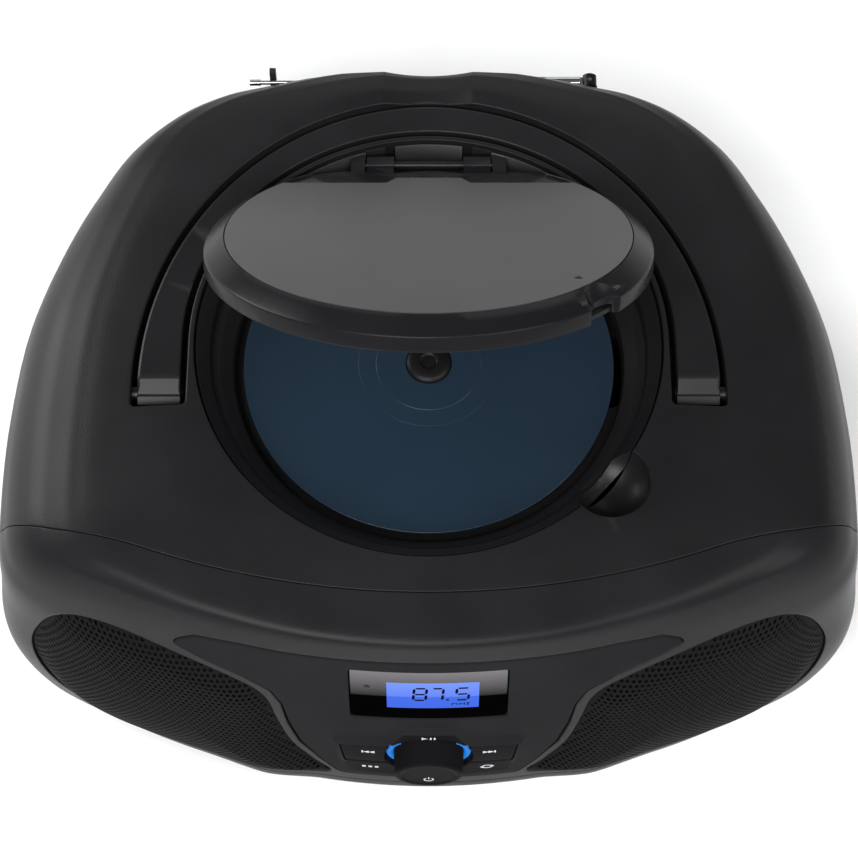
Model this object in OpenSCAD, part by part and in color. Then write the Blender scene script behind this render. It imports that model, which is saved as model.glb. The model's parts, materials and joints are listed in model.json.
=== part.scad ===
// Portable boombox with a top-loading disc player.
// The disc axis is the design's datum; at_disc() moves every sub-part so that the
// origin is the middle of the footprint, on the surface that the feet stand on.

/* [Body] */
// Half of the body's width at its widest row
half_width = 139.5; // [137:0.5:142]
// Wall of the plastic shells
wall = 2.5; // [2:0.1:3]
// Height of the top face
top_z = 115; // [114:0.5:116]
// Radius of the curved seam between the front and the upper case
seam_r = 266; // [262:1:275]

/* [Disc player] */
// Radius of the disc
disc_r = 60; // [59:0.5:60]
// Height of the disc's upper face
disc_z = 98; // [97.5:0.1:98.5]
// Radius of the hole in the upper case that takes the disc well
well_hole_r = 74.7; // [74.5:0.1:75]
// Radius of the lid's rim
lid_r = 69; // [68:0.5:69]
// Angle at which the lid stands open
lid_open = 37.2; // [20:0.1:38]
// Travel of the laser sled
sled_travel = 35; // [30:1:35]

/* [Handle] */
// Inner radius of the handle's bow, about the disc axis
handle_r = 78.5; // [78:0.1:79]
// Height of the handle's pivots
pivot_z = 107.5; // [107:0.1:108]
// Row of the handle's pivots, behind the disc axis
pivot_y = -16; // [-16.5:0.1:-15.5]

/* [Controls] */
// Height of the knob's axis
knob_z = 38.2; // [37.5:0.1:39]
// Radius of the volume knob
knob_r = 11.3; // [10:0.1:11.4]
// How far the knob's face is in front of the disc axis
knob_face = 120.2; // [119:0.1:122]
// Gap around each push button
button_gap = 0.35; // [0.3:0.05:0.5]

/* [Speakers] */
// Distance of each driver from the middle
driver_x = 84; // [82:0.5:86]
// Height of the drivers' axes
driver_z = 52; // [50:0.5:54]
// Angle by which each driver faces outwards
driver_turn = 20; // [15:1:25]
// Bulge of the speaker grilles over the cabinet's front
grille_bulge = 5.5; // [3:0.5:6]

/* [Hidden] */
$fn = 48;
eps = 0.02;

body_back = 112.2;
disc_y = (knob_face - body_back) / 2;
charcoal = [0.16, 0.16, 0.17];
satin = [0.34, 0.33, 0.34];
steel = [0.72, 0.73, 0.75];
board_green = [0.1, 0.32, 0.18];
board_t = 1.6;

// ---- Plan outline: a smooth curve through a few points of the right half ----
wide_y = -48;
front_tip = -115;
half_plan = [
  [0, front_tip], [43, -111.3], [82, -101.2], [112, -88.8], [129.5, -79], [137.5, -67],
  [half_width, wide_y], [139, -15], [134, 22], [121, 57], [103, 82], [76, 100], [40, 109.6],
  [0, body_back]
];
plan_steps = 2;

// Catmull-Rom point at fraction t between b and c
function curve_at(a, b, c, d, t) =
  0.5 * (2 * b + (c - a) * t + (2 * a - 5 * b + 4 * c - d) * t * t + (3 * b - a - 3 * c + d) * t * t * t);

// Smooth open curve through the points p, with first and last tangents along X
function smooth_open(p, steps) =
  let (n = len(p), q = concat([[-p[1].x, p[1].y]], p, [[-p[n - 2].x, p[n - 2].y]]))
  concat([for (i = [0 : n - 2], k = [0 : steps - 1])
    curve_at(q[i], q[i + 1], q[i + 2], q[i + 3], k / steps)], [p[n - 1]]);

// Smooth closed curve through the points p
function smooth_closed(p, steps) =
  let (n = len(p))
  [for (i = [0 : n - 1], k = [0 : steps - 1])
    curve_at(p[(i + n - 1) % n], p[i], p[(i + 1) % n], p[(i + 2) % n], k / steps)];

half_curve = smooth_open(half_plan, plan_steps);
half_count = len(half_curve);
outline = concat(half_curve, [for (i = [half_count - 2 : -1 : 1]) [-half_curve[i].x, half_curve[i].y]]);

// Extents of the body at each height: half width, front row and back row
width_at = [[3, 126], [8, 131], [14, 134.5], [30, 138], [50, 139.5], [70, 139.2], [84, 137.5], [94, 133.5],
  [101, 128.5], [107, 120.5], [110.2, 112], [111.9, 105], [113, 98], [114.4, 86], [115, 77]];
front_at = [[3, -110], [8, -114.3], [14, -114.2], [30, -113.3], [50, -111.6], [70, -109.3], [84, -107.2],
  [94, -105.3], [101, -104], [108, -102.3], [110.2, -100.4], [111.9, -92], [113, -84], [114.4, -74], [115, -66]];
back_at = [[3, 104], [8, 107], [14, 109], [30, 111.5], [50, body_back], [90, 112], [101, 110.5], [107, 108.6],
  [110.2, 106.5], [113, 102.5], [114.4, 98.5], [115, 94.5]];

// One ring of the body at height z, drawn in by inset, with the profile read lift higher
function body_ring(z, inset = 0, lift = 0) =
  let (h = min(z + lift, top_z),
    kx = (lookup(h, width_at) - inset) / half_width,
    kf = (lookup(h, front_at) + inset - wide_y) / (front_tip - wide_y),
    kb = (lookup(h, back_at) - inset - wide_y) / (body_back - wide_y))
  [for (p = outline) [p.x * kx, wide_y + (p.y - wide_y) * (p.y < wide_y ? kf : kb), z]];

// Row of the cabinet's front surface at a place x, z
front_half = [for (p = half_curve) if (p.y < wide_y + 1) p];
function front_row(x, z) =
  let (base = lookup(abs(x) * half_width / lookup(z, width_at), front_half),
    kf = (lookup(z, front_at) - wide_y) / (front_tip - wide_y))
  wide_y + (base - wide_y) * kf;

// Closed solid through a list of rings with equal point counts
module loft(rings) {
  n = len(rings[0]);
  m = len(rings);
  points = [for (r = rings, p = r) p];
  sides = [for (i = [0 : m - 2], j = [0 : n - 1])
    let (a = i * n + j, b = i * n + (j + 1) % n)
    each [[a, b + n, b], [a, a + n, b + n]]];
  caps = [[for (j = [0 : n - 1]) j], [for (j = [n - 1 : -1 : 0]) (m - 1) * n + j]];
  polyhedron(points, concat(sides, caps));
}

// Curved slab that follows the cabinet's front between x0..x1 and z0..z1
module front_slab(x0, x1, z0, z1, proud, thick, nx, nz) {
  xs = [for (i = [0 : nx]) x0 + (x1 - x0) * i / nx];
  loft([for (k = [0 : nz])
    let (z = z0 + (z1 - z0) * k / nz)
    concat([for (x = xs) [x, front_row(x, z) - proud, z]],
      [for (i = [nx : -1 : 0]) [xs[i], front_row(xs[i], z) - proud + thick, z]])]);
}

module at_disc() {
  translate([0, disc_y, 0]) children();
}

// Extrudes a front-view outline (x, z) from row y0 back to row y1
module front_prism(y0, y1) {
  translate([0, y1, 0]) rotate([90, 0, 0]) linear_extrude(y1 - y0) children();
}

// Cylinder along Y from row y0 to row y1
module y_cylinder(r, y0, y1, x, z) {
  translate([x, y1, z]) rotate([90, 0, 0]) cylinder(h = y1 - y0, r = r);
}

// Cylinder along X from x0 to x1
module x_cylinder(r, x0, x1, y, z) {
  translate([x0, y, z]) rotate([0, 90, 0]) cylinder(h = x1 - x0, r = r);
}

// Box from corner a to corner b
module block(a, b) {
  translate(a) cube(b - a);
}

// ---- Cabinet ----
shell_bottom = 12.6;
shell_inner_top = top_z - wall;
seam_y = 179;
dimple = [56.2, -49.7, 117];
dimple_r = 12.6;
groove_gap = 1.8;
groove_floor = 101;
groove_end = -23.4;
handle_a = 92.2;
handle_b = 103.7;
handle_oval_y = -15;
antenna_pos = [55.25, 107.2, 101];
inlet_pos = [-50, 104.5, 34];
jack_xs = [44, 60];
jack_z = 34;
lid_axis = [68, 110];
ear_x = 16;
ear_half = 4.5;
bracket_x = 23.4;
bracket_half = 2.3;
pin_half = 25.4;

module body_shell() {
  outer = [for (z = [shell_bottom, 30, 50, 70, 84, 94, 101, 107, 110.2, 111.9, 113, 114.4, top_z]) body_ring(z)];
  inner = [for (z = [shell_inner_top, 111, 109, 104, 98, 88, 60, shell_bottom]) body_ring(z, wall - 0.3, wall)];
  loft(concat(inner, outer));
}

// Everything in front of the curved seam
module front_of_seam(gap) {
  difference() {
    block([-150, -130, 0], [150, -45, 125]);
    translate([0, seam_y, -1]) cylinder(h = 130, r = seam_r + gap, $fn = 180);
  }
}

// Plan of the handle's outer edge, grown by g, open towards the front
module handle_outer_plan(g, end) {
  steps = 40;
  polygon(concat(
    [for (i = [0 : steps]) [(handle_a + g) * cos(180 * i / steps), handle_oval_y + (handle_b + g) * sin(180 * i / steps)]],
    [[-handle_a - g, end], [handle_a + g, end]]));
}

// Plan of the space inside the handle: a half round with straight legs
module handle_inner_plan(r, end) {
  union() {
    circle(r = r, $fn = 96);
    translate([-r, end]) square([2 * r, -end]);
  }
}

module groove_plan() {
  difference() {
    handle_outer_plan(groove_gap, groove_end);
    handle_inner_plan(handle_r - 2, groove_end - 5);
  }
}

module groove_block_plan() {
  difference() {
    handle_outer_plan(groove_gap + 2, groove_end - 2);
    handle_inner_plan(handle_r - 4, groove_end - 5);
  }
}

module upper_case() {
  color(charcoal) at_disc() {
    antenna_clip();
    upper_moulding();
  }
}

// Post that holds the folded antenna's tip
module antenna_clip() {
  block([-54.6, 101, 92], [-52.5, 111.2, 96]);
  block([-54.6, 109.2, 92], [-52.5, 111.2, 103.6]);
}

module body_top() {
  loft([for (z = [90, 94, 101, 107, 110.2, 111.9, 113, 114.4, top_z]) body_ring(z)]);
}

module upper_moulding() {
  difference() {
    union() {
      difference() {
        body_shell();
        front_of_seam(0);
      }
      intersection() {
        body_top();
        union() {
          block([-63, 102.2, 96.2], [61, 104.5, 120]);
          block([-63, 102.2, 96.2], [61, 120, 98.3]);
        }
      }
      block([33.8, 87.2, 25], [70.2, 89.2, 43]);
      block([33.8, 87.2, 25], [35.8, 108, 43]);
      block([68.2, 87.2, 25], [70.2, 100.4, 43]);
      translate([0, 0, groove_floor - 1.8]) linear_extrude(top_z - 2.2 - groove_floor + 1.8) groove_block_plan();
      block([-20, 88, 104], [20, 101, 112.8]);
      y_cylinder(3.6, 92, 104.4, antenna_pos.x, antenna_pos.z);
      intersection() {
        translate(dimple) sphere(r = dimple_r + 1.8);
        block([40, -70, 95], [90, -20, 113]);
      }
      for (s = [-1, 1]) {
        translate([s * rear_screw.x, rear_screw.y, shell_bottom]) cylinder(h = 106.8 - shell_bottom, r = 4);
        translate([s * side_screw.x, side_screw.y, shell_bottom]) cylinder(h = 106 - shell_bottom, r = 4);
      }
    }
    translate([0, 0, groove_floor]) linear_extrude(30) groove_plan();
    translate([0, 0, 60]) cylinder(h = 80, r = well_hole_r, $fn = 96);
    translate(dimple) sphere(r = dimple_r);
    y_cylinder(28, 86, 130, 0, 139);
    block([-63, 104.5, 98.3], [61, 120, 120]);
    y_cylinder(2.05, 97, 109, antenna_pos.x, antenna_pos.z);
    x_cylinder(2.5, -98, 98, pivot_y, pivot_z);
    block([inlet_pos.x - 12.2, 95, inlet_pos.z - 8.2], [inlet_pos.x + 12.2, 120, inlet_pos.z + 8.2]);
    block([jack_xs[0] - 8.2, 95, jack_z - 7.2], [jack_xs[1] + 8.2, 120, jack_z + 7.2]);
    for (s = [-1, 1]) {
      translate([s * rear_screw.x, rear_screw.y, shell_bottom - 1]) cylinder(h = 20, r = 1.3);
      translate([s * side_screw.x, side_screw.y, shell_bottom - 1]) cylinder(h = 20, r = 1.3);
    }
  }
}

// Front-view outlines of the speaker openings and of the control panel
grille_edge = [[127.5, 56], [122.5, 74], [114, 84.5], [104, 88.2], [92, 88.4], [77.5, 84.8], [61, 78], [52.5, 71],
  [48.6, 57], [44.5, 41], [38, 26.5], [33, 17.5], [50, 15.2], [80, 15.2], [106, 16], [119, 24], [125.5, 39]];
grille_steps = 2;
panel_half = [[0, 100.2], [58, 100], [72, 98.6], [77.5, 94.5], [79.6, 91.2], [71, 86.6], [58.5, 81.2], [50, 75],
  [46.8, 67], [45.2, 55], [42, 41], [36, 28], [29.8, 18], [0, 17.4]];
panel_edge = concat(panel_half, [for (i = [len(panel_half) - 2 : -1 : 1]) [-panel_half[i].x, panel_half[i].y]]);

module front_case() {
  color(charcoal) at_disc() difference() {
    union() {
      intersection() {
        body_shell();
        front_of_seam(0.3);
      }
      for (s = [-1, 1]) {
        translate([s * front_screw.x, front_screw.y, shell_bottom]) cylinder(h = 8, r = 3.6);
        translate([s * front_screw.x - 3.6, -113, shell_bottom]) cube([7.2, 17, 3]);
      }
    }
    front_prism(-130, -85) polygon(panel_edge);
    for (s = [0, 1])
      mirror([s, 0, 0]) front_prism(-130, -55) polygon(smooth_closed(grille_edge, grille_steps));
    for (s = [-1, 1])
      translate([s * front_screw.x, front_screw.y, shell_bottom - 1]) cylinder(h = 20, r = 1.3);
  }
}

base_top = 12.3;
bay = [[-78, 26, 5.4], [78, 84, 34]];
bay_mouth = [[-71, 30], [71, 81]];
door = [[-73, 28, 3], [73, 87, 5]];
foot_places = [[-104, -62], [104, -62], [-88, 60], [88, 60]];
rear_screw = [87, 72];
side_screw = [112, -30];
front_screw = [20, -96];
screw_places = [for (p = [rear_screw, side_screw, front_screw], s = [-1, 1]) [s * p.x, p.y]];
board_posts = [[-70, -50], [70, -50], [-70, 12], [70, 12]];
board_z = 16;

module base_case() {
  rings = concat([for (z = [3, 5, 8, base_top]) body_ring(z)],
    [body_ring(base_top, wall, 0), body_ring(5.4, wall, 0)]);
  color(charcoal) at_disc() difference() {
    union() {
      loft(rings);
      block([bay[0].x - 2, bay[0].y - 2, 4], [bay[1].x + 2, bay[1].y + 2, bay[1].z + 2]);
      for (p = board_posts)
        translate([p.x, p.y, 4]) cylinder(h = board_z - 4, r = 3);
      for (p = screw_places)
        translate([p.x, p.y, 4]) cylinder(h = base_top - 4, r = 4.5);
      for (p = foot_places)
        translate([p.x, p.y, 4]) cylinder(h = 4, r = 5);
    }
    block([bay[0].x, bay[0].y, 5.3], bay[1]);
    block([bay_mouth[0].x, bay_mouth[0].y, 2], [bay_mouth[1].x, bay_mouth[1].y, 8]);
    block([door[0].x - 0.4, door[0].y - 0.4, 2], [door[1].x + 0.4, 120, 5.3]);
    for (p = screw_places) {
      translate([p.x, p.y, 0]) cylinder(h = 20, r = 1.7);
      translate([p.x, p.y, 0]) cylinder(h = 6.5, r = 3.2);
    }
    for (p = board_posts)
      translate([p.x, p.y, 8]) cylinder(h = 10, r = 1.2);
    for (p = foot_places)
      translate([p.x, p.y, 0]) cylinder(h = 20, r = 2.6);
  }
}

// Cover that slides out to the rear, with a finger ridge near its rear edge
module battery_door() {
  color(charcoal) at_disc() union() {
    block([door[0].x, door[0].y, door[0].z], [door[1].x, door[1].y, door[1].z]);
    for (i = [0 : 4])
      block([-12, 72 + 2.4 * i, 2.4], [12, 73 + 2.4 * i, 3.2]);
  }
}

module rubber_feet() {
  color([0.08, 0.08, 0.08]) at_disc() for (p = foot_places) translate([p.x, p.y, 0])
    rotate_extrude() polygon([[0, 0], [8, 0], [9, 1], [9, 3], [2.5, 3], [2.5, 8.2], [3.2, 8.6], [2.2, 10.5], [0, 10.5]]);
}

module case_screws() {
  color(steel) at_disc() for (p = screw_places) translate([p.x, p.y, 4.4]) {
    difference() {
      union() {
        cylinder(h = 2, r = 3);
        cylinder(h = 20, r = 1.25);
      }
      translate([-2, -0.3, -1]) cube([4, 0.6, 2]);
      translate([-0.3, -2, -1]) cube([0.6, 4, 2]);
    }
  }
}

// ---- Speaker grilles: bulged sheets that follow the cabinet's front ----
grille_mid = [82, 51];
grille_sheet = 1.2;

// A point of the sheet, at fraction f from the middle to the edge point e
function sheet_point(e, f, behind) =
  let (x = grille_mid.x + (e.x - grille_mid.x) * f, z = grille_mid.y + (e.y - grille_mid.y) * f)
  [x, front_row(x, z) + 1.4 - (grille_bulge + 1.4) * (1 - pow(f, 4)) + behind, z];

module grille_shape() {
  edge = [for (p = smooth_closed(grille_edge, grille_steps)) p];
  fractions = [0.04, 0.3, 0.6, 0.8, 0.92, 0.985];
  last = len(fractions) - 1;
  front = [for (f = fractions) [for (e = edge) sheet_point(e, f, 0)]];
  rear = [for (i = [last : -1 : 0]) [for (e = edge) sheet_point(e, fractions[i], grille_sheet)]];
  loft(concat(front, rear));
}

module speaker_grille_right() {
  color([0.2, 0.2, 0.21]) at_disc() grille_shape();
}

module speaker_grille_left() {
  color([0.2, 0.2, 0.21]) at_disc() mirror([1, 0, 0]) grille_shape();
}

// ---- Control panel, display and keys ----
window_box = [[-25, 64.3], [25, 94.2]];
ring_hole_r = 14.1;
key_arc_r = 14.5;
function key_arc(a0, a1) = [for (i = [0 : 6]) let (a = a0 + (a1 - a0) * i / 6)
  [key_arc_r * cos(a), knob_z + key_arc_r * sin(a)]];
play_edge = concat([[-12.4, 47.4], [-7.9, 56], [7.9, 56], [12.4, 47.4]], key_arc(38, 142));
next_edge = concat([[28.8, 45.6], [27.4, 33.2]], key_arc(-20, 28), [[13.8, 46.6]]);
repeat_edge = concat([[27.2, 32.2], [25.4, 21.8], [8, 20.6]], key_arc(-55, -25));
key_front = -112.7;
key_depth = 3;
key_travel = 0.7;
stem_r = 1.5;
stem_end = -106.9;
ring_rear = -104;

// The key outlines turned to lie along the panel's curve
module key_cap(edge, turn, stem) {
  union() {
    intersection() {
      front_prism(key_front - 1, key_front + key_depth) polygon(edge);
      rotate([0, 0, turn]) block([-60, key_front, 0], [60, -100, 90]);
    }
    y_cylinder(stem_r, key_front + key_depth - 0.6, stem_end, stem.x, stem.y);
  }
}

play_stem = [0, 54];
next_stem = [21.5, 40];
repeat_stem = [20, 27];

module play_button() {
  color(charcoal) at_disc() key_cap(play_edge, 0, play_stem);
}

module next_button() {
  color(charcoal) at_disc() key_cap(next_edge, 4.5, next_stem);
}

module previous_button() {
  color(charcoal) at_disc() mirror([1, 0, 0]) key_cap(next_edge, 4.5, next_stem);
}

module repeat_button() {
  color(charcoal) at_disc() key_cap(repeat_edge, 4, repeat_stem);
}

module function_button() {
  color(charcoal) at_disc() mirror([1, 0, 0]) key_cap(repeat_edge, 4, repeat_stem);
}

// The knob ring and all the keys, as one front-view shape
module key_cluster() {
  union() {
    translate([0, knob_z]) circle(r = ring_hole_r);
    polygon(play_edge);
    for (s = [0, 1]) mirror([s, 0]) {
      polygon(next_edge);
      polygon(repeat_edge);
    }
  }
}

module control_panel() {
  color(charcoal) at_disc() difference() {
    intersection() {
      front_slab(-80, 80, 17, 101, 0, wall, 16, 7);
      front_prism(-130, -80) offset(delta = -0.3) polygon(panel_edge);
    }
    block([window_box[0].x, -130, window_box[0].y], [window_box[1].x, -90, window_box[1].y]);
    front_prism(-130, -100) offset(delta = button_gap - 1.2) offset(delta = 1.2) key_cluster();
  }
}

module display_window() {
  color([0.03, 0.03, 0.04]) at_disc()
    front_slab(window_box[0].x + 0.2, window_box[1].x - 0.2, window_box[0].y + 0.2, window_box[1].y - 0.2,
      0.3, 1.8, 8, 4);
}

lcd_tilt = 6.5;
module lcd_module() {
  color([0.35, 0.5, 0.95]) at_disc() translate([1.4, -103.6, 80]) rotate([-lcd_tilt, 0, 0]) union() {
    translate([-16.5, -1.5, -10]) cube([33, 1.6, 20]);
    translate([-18.5, 0, -11.5]) cube([37, 3, 23]);
  }
}

board_front = -99;
module front_board() {
  color(board_green) at_disc() difference() {
    block([-36, board_front, 19], [36, board_front + board_t, 93]);
    y_cylinder(3.6, -105, -90, 0, knob_z);
    for (x = [-33, 33], z = [22, 90])
      y_cylinder(1.6, -105, -90, x, z);
  }
}

switch_places = [play_stem, next_stem, [-next_stem.x, next_stem.y], repeat_stem, [-repeat_stem.x, repeat_stem.y]];
module tact_switches() {
  color([0.12, 0.12, 0.13]) at_disc() for (p = switch_places) union() {
    block([p.x - 3, board_front - 4, p.y - 3], [p.x + 3, board_front, p.y + 3]);
    y_cylinder(1.7, stem_end + key_travel + 0.3, board_front - 3.8, p.x, p.y);
  }
}

module led_ring() {
  color([0.2, 0.6, 1]) at_disc() union() {
    difference() {
      y_cylinder(13.8, -113.2, ring_rear, 0, knob_z);
      y_cylinder(12.1, -114, ring_rear + 1, 0, knob_z);
    }
    for (a = [0, 180, 270])
      y_cylinder(0.8, ring_rear - 1, board_front, 12.95 * cos(a), knob_z + 12.95 * sin(a));
  }
}

knob_rear = -111;
knob_travel = 0.8;
plunger_r = 1.6;
module volume_knob() {
  color(charcoal) at_disc() difference() {
    union() {
      translate([0, knob_rear, knob_z]) rotate([90, 0, 0]) rotate_extrude($fn = 96)
        polygon([[0, 0], [knob_r, 0], [knob_r, knob_face + knob_rear - 0.8], [knob_r - 0.8, knob_face + knob_rear],
          [0, knob_face + knob_rear]]);
      y_cylinder(3.4, knob_rear - 1, -108.5, 0, knob_z);
    }
    difference() {
      y_cylinder(knob_r - 1.6, -knob_face + 2, -100, 0, knob_z);
      y_cylinder(3.4, -130, -100, 0, knob_z);
    }
    y_cylinder(plunger_r + 0.06, -knob_face + 2, -100, 0, knob_z);
  }
}

module volume_encoder() {
  color([0.55, 0.56, 0.58]) at_disc() difference() {
    union() {
      block([-6.2, board_front - 6, knob_z - 6.2], [6.2, board_front, knob_z + 6.2]);
      y_cylinder(3.4, board_front - 7.6, board_front - 5, 0, knob_z);
    }
    y_cylinder(plunger_r + 0.06, -120, board_front + 1, 0, knob_z);
  }
}

module encoder_plunger() {
  color(steel) at_disc() y_cylinder(plunger_r, -knob_face + 2.6, board_front - 0.8, 0, knob_z);
}

// ---- Disc well and lid ----
module cd_well() {
  slot = [[16, -13], [63, 13]];
  color([0.12, 0.12, 0.13]) at_disc() difference() {
    union() {
      rotate_extrude($fn = 96) polygon([[17, 89.6], [61.6, 89.6], [64.8, 93], [65.6, 98.2], [69.2, 101.2], [72.2, 102],
        [74.4, 108], [74.4, 113], [73.9, 113.5], [69.9, 108.4], [69.7, 103.6], [67.3, 103.2], [63.3, 98.2],
        [62.6, 93], [61, 91.6], [17, 91.6]]);
      intersection() {
        translate(dimple) sphere(r = dimple_r + 2);
        translate([0, 0, 98]) difference() {
          cylinder(h = 15, r = 74.2, $fn = 96);
          translate([0, 0, -1]) cylinder(h = 17, r = lid_r + 0.5, $fn = 96);
        }
      }
      for (s = [-1, 1]) {
        intersection() {
          translate([s * bracket_x - bracket_half, 63, 100]) cube([2 * bracket_half, 9.5, 13]);
          translate([0, 0, 90]) cylinder(h = 30, r = 74.2, $fn = 96);
        }
      }
      for (p = damper_places)
        translate([p.x, p.y, damper_z - 3]) cylinder(h = 90 - damper_z + 3, r = 2.4);
    }
    translate(dimple) sphere(r = dimple_r);
    translate([slot[0].x, slot[0].y, 80]) cube([slot[1].x - slot[0].x, slot[1].y - slot[0].y, 14]);
    for (s = [-1, 1])
      translate([s * ear_x, 0, 0]) block([-ear_half - 0.4, 58, 103.9], [ear_half + 0.4, 73, 120]);
    x_cylinder(1.5, -pin_half - 0.5, pin_half + 0.5, lid_axis.x, lid_axis.y);
  }
}

// Lid sub-parts are drawn closed and then swung open about the hinge
module lid_opened() {
  translate([0, lid_axis.x, lid_axis.y]) rotate([-lid_open, 0, 0]) translate([0, -lid_axis.x, -lid_axis.y])
    children();
}

lid_top = 114;
plate_r = 62.4;
plate_chord = 41;
lid_scoop = [53.7, -47.5, 116.3];
scoop_r = 9.5;

module lid_shell() {
  color([0.1, 0.1, 0.11]) at_disc() lid_opened() difference() {
    union() {
      difference() {
        rotate_extrude($fn = 96) polygon([[0, lid_top - 1], [plate_r - 0.4, lid_top - 1], [lid_r, 109.5],
          [lid_r, 104.6], [lid_r - 2, 104.6], [lid_r - 2, 108.6], [plate_r - 0.6, lid_top - 3.2], [0, lid_top - 3.2]]);
        translate([0, plate_chord + 9, lid_top + 1]) rotate([-14, 0, 0]) block([-80, 0, -2], [80, 40, 12]);
      }
      for (s = [-1, 1]) translate([s * ear_x, 0, 0]) {
        x_cylinder(3.1, -ear_half, ear_half, lid_axis.x, lid_axis.y);
        block([-ear_half, 58, 107.7], [ear_half, 67, 110.8]);
      }
      intersection() {
        translate(lid_scoop) sphere(r = scoop_r + 2);
        translate([0, 0, 107.8]) cylinder(h = 4, r = 67.5);
      }
    }
    translate(lid_scoop) sphere(r = scoop_r);
    x_cylinder(1.56, -40, 40, lid_axis.x, lid_axis.y);
    for (s = [-1, 1])
      translate([s * bracket_x, 0, 0]) block([-bracket_half - 0.4, 62, 100], [bracket_half + 0.4, 80, 120]);
    block([ear_half - ear_x + 0.1, 66.2, 100], [ear_x - ear_half - 0.1, 80, 120]);
  }
}

module lid_plan(r) {
  difference() {
    circle(r = r, $fn = 120);
    translate([-80, plate_chord]) square([160, 60]);
  }
  polygon([[-13.5, plate_chord - 1], [13.5, plate_chord - 1], [13.5, plate_chord], [10.5, plate_chord + 4.5],
    [-10.5, plate_chord + 4.5], [-13.5, plate_chord]]);
}

module lid_top_plate() {
  color(satin) at_disc() lid_opened() difference() {
    translate([0, 0, lid_top - 1]) linear_extrude(1) lid_plan(plate_r);
    translate(lid_scoop) sphere(r = scoop_r);
  }
}

module lid_inner_cover() {
  color(charcoal) at_disc() lid_opened() difference() {
    rotate_extrude($fn = 96) polygon([[0, 107.2], [20, 107.2], [24, 106.2], [64, 106.2], [66.6, 104.8], [66.6, 106.4],
      [64.4, 107.6], [24.4, 107.6], [20.4, 108.6], [0, 108.6]]);
    block([-28, 60, 100], [28, 80, 120]);
  }
}

module lid_hinge_pin() {
  color(steel) at_disc() x_cylinder(1.5, -pin_half, pin_half, lid_axis.x, lid_axis.y);
}

// ---- Disc and drive ----
shaft_r = 1;
hub_r = 7.3;
damper_places = [for (x = [-40, 48], y = [-34, 34]) [x, y]];
damper_z = 84;
chassis = [[-46, -40, damper_z - 1], [72, 40, damper_z + 2]];
rod_y = 17;
rod_z = 79.6;
rod_r = 1.5;
rack_y = -22.8;
tooth_m = 0.8;
rack_gear_teeth = 16;
wheel_teeth = 30;
pinion_teeth = 8;
gear_x = 40;
gear_y = rack_y - rack_gear_teeth * tooth_m / 2 - 0.12;
pinion_x = gear_x - (wheel_teeth + pinion_teeth) * tooth_m / 2 - 0.15;
lens_start = 22;

module compact_disc() {
  color([0.14, 0.2, 0.26]) at_disc() rotate_extrude($fn = 120) polygon([[7.5, disc_z - 1.2], [disc_r, disc_z - 1.2],
    [disc_r, disc_z], [17.2, disc_z], [17, disc_z + 0.15], [16.8, disc_z], [7.5, disc_z]]);
}

module disc_hub() {
  color([0.1, 0.1, 0.1]) at_disc() union() {
    rotate_extrude($fn = 96) polygon([[0, 93.6], [15.5, 93.6], [15.5, disc_z - 1.2], [hub_r, disc_z - 1.2],
      [hub_r, disc_z + 0.2], [hub_r - 1.6, disc_z + 1.6], [3, disc_z + 1.6], [2.4, disc_z + 0.9], [0, disc_z + 0.9]]);
    translate([0, 0, 73]) cylinder(h = 21, r = shaft_r);
  }
}

module spindle_motor() {
  color(steel) at_disc() difference() {
    union() {
      translate([0, 0, 71]) cylinder(h = 12, r = 12);
      translate([0, 0, 82.5]) cylinder(h = 6, r = 3.5);
    }
    translate([0, 0, 72]) cylinder(h = 20, r = shaft_r + 0.06);
  }
}

module drive_chassis() {
  color([0.2, 0.2, 0.21]) at_disc() difference() {
    union() {
      block(chassis[0], chassis[1]);
      for (s = [-1, 1], x = [8, 66.4])
        block([x, s * rod_y - 3, rod_z - 2.6], [x + 4.2, s * rod_y + 3, damper_z]);
      translate([gear_x, gear_y, 73]) cylinder(h = 11, r = 1.5);
      block([pinion_x - 9, -36, 71.6], [pinion_x + 7, -24.6, 73]);
      block([pinion_x - 9, -36, 71.6], [pinion_x - 7, -24.6, damper_z]);
    }
    translate([0, 0, 70]) cylinder(h = 20, r = 3.6);
    block([15.5, -14, 70], [63.5, 14, 90]);
    for (p = damper_places)
      translate([p.x, p.y, 70]) cylinder(h = 30, r = 4);
    for (s = [-1, 1])
      x_cylinder(rod_r, 8.5, 70, s * rod_y, rod_z);
    translate([pinion_x, gear_y, 70]) cylinder(h = 8, r = 1.6);
  }
}

module damper_grommets() {
  color([0.07, 0.07, 0.07]) at_disc() for (p = damper_places) translate([p.x, p.y, damper_z])
    rotate_extrude() polygon([[2.4, -2.4], [6, -2.4], [6, -1], [4, -1], [4, 2], [6, 2], [6, 3.4], [2.4, 3.4]]);
}

module guide_rods() {
  color(steel) at_disc() for (s = [-1, 1])
    x_cylinder(rod_r, 8.6, 69.8, s * rod_y, rod_z);
}

// Straight-sided gear with generous tooth clearance, centred on the Z axis
module gear(teeth, thick, bore) {
  pitch_r = teeth * tooth_m / 2;
  tip_r = pitch_r + 0.75 * tooth_m;
  root_r = pitch_r - 1.05 * tooth_m;
  half_root = 0.95 * tooth_m;
  half_tip = 0.36 * tooth_m;
  difference() {
    linear_extrude(thick) union() {
      circle(r = root_r);
      for (i = [0 : teeth - 1]) rotate(360 * i / teeth)
        polygon([[root_r - 0.3, -half_root], [tip_r, -half_tip], [tip_r, half_tip], [root_r - 0.3, half_root]]);
    }
    translate([0, 0, -1]) cylinder(h = thick + 2, r = bore);
  }
}

module reduction_gear() {
  color([0.85, 0.85, 0.8]) at_disc() translate([gear_x, gear_y, 73.8]) union() {
    gear(wheel_teeth, 1.8, 1.56);
    translate([0, 0, 1.7]) gear(rack_gear_teeth, 2.9, 1.56);
  }
}

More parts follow.
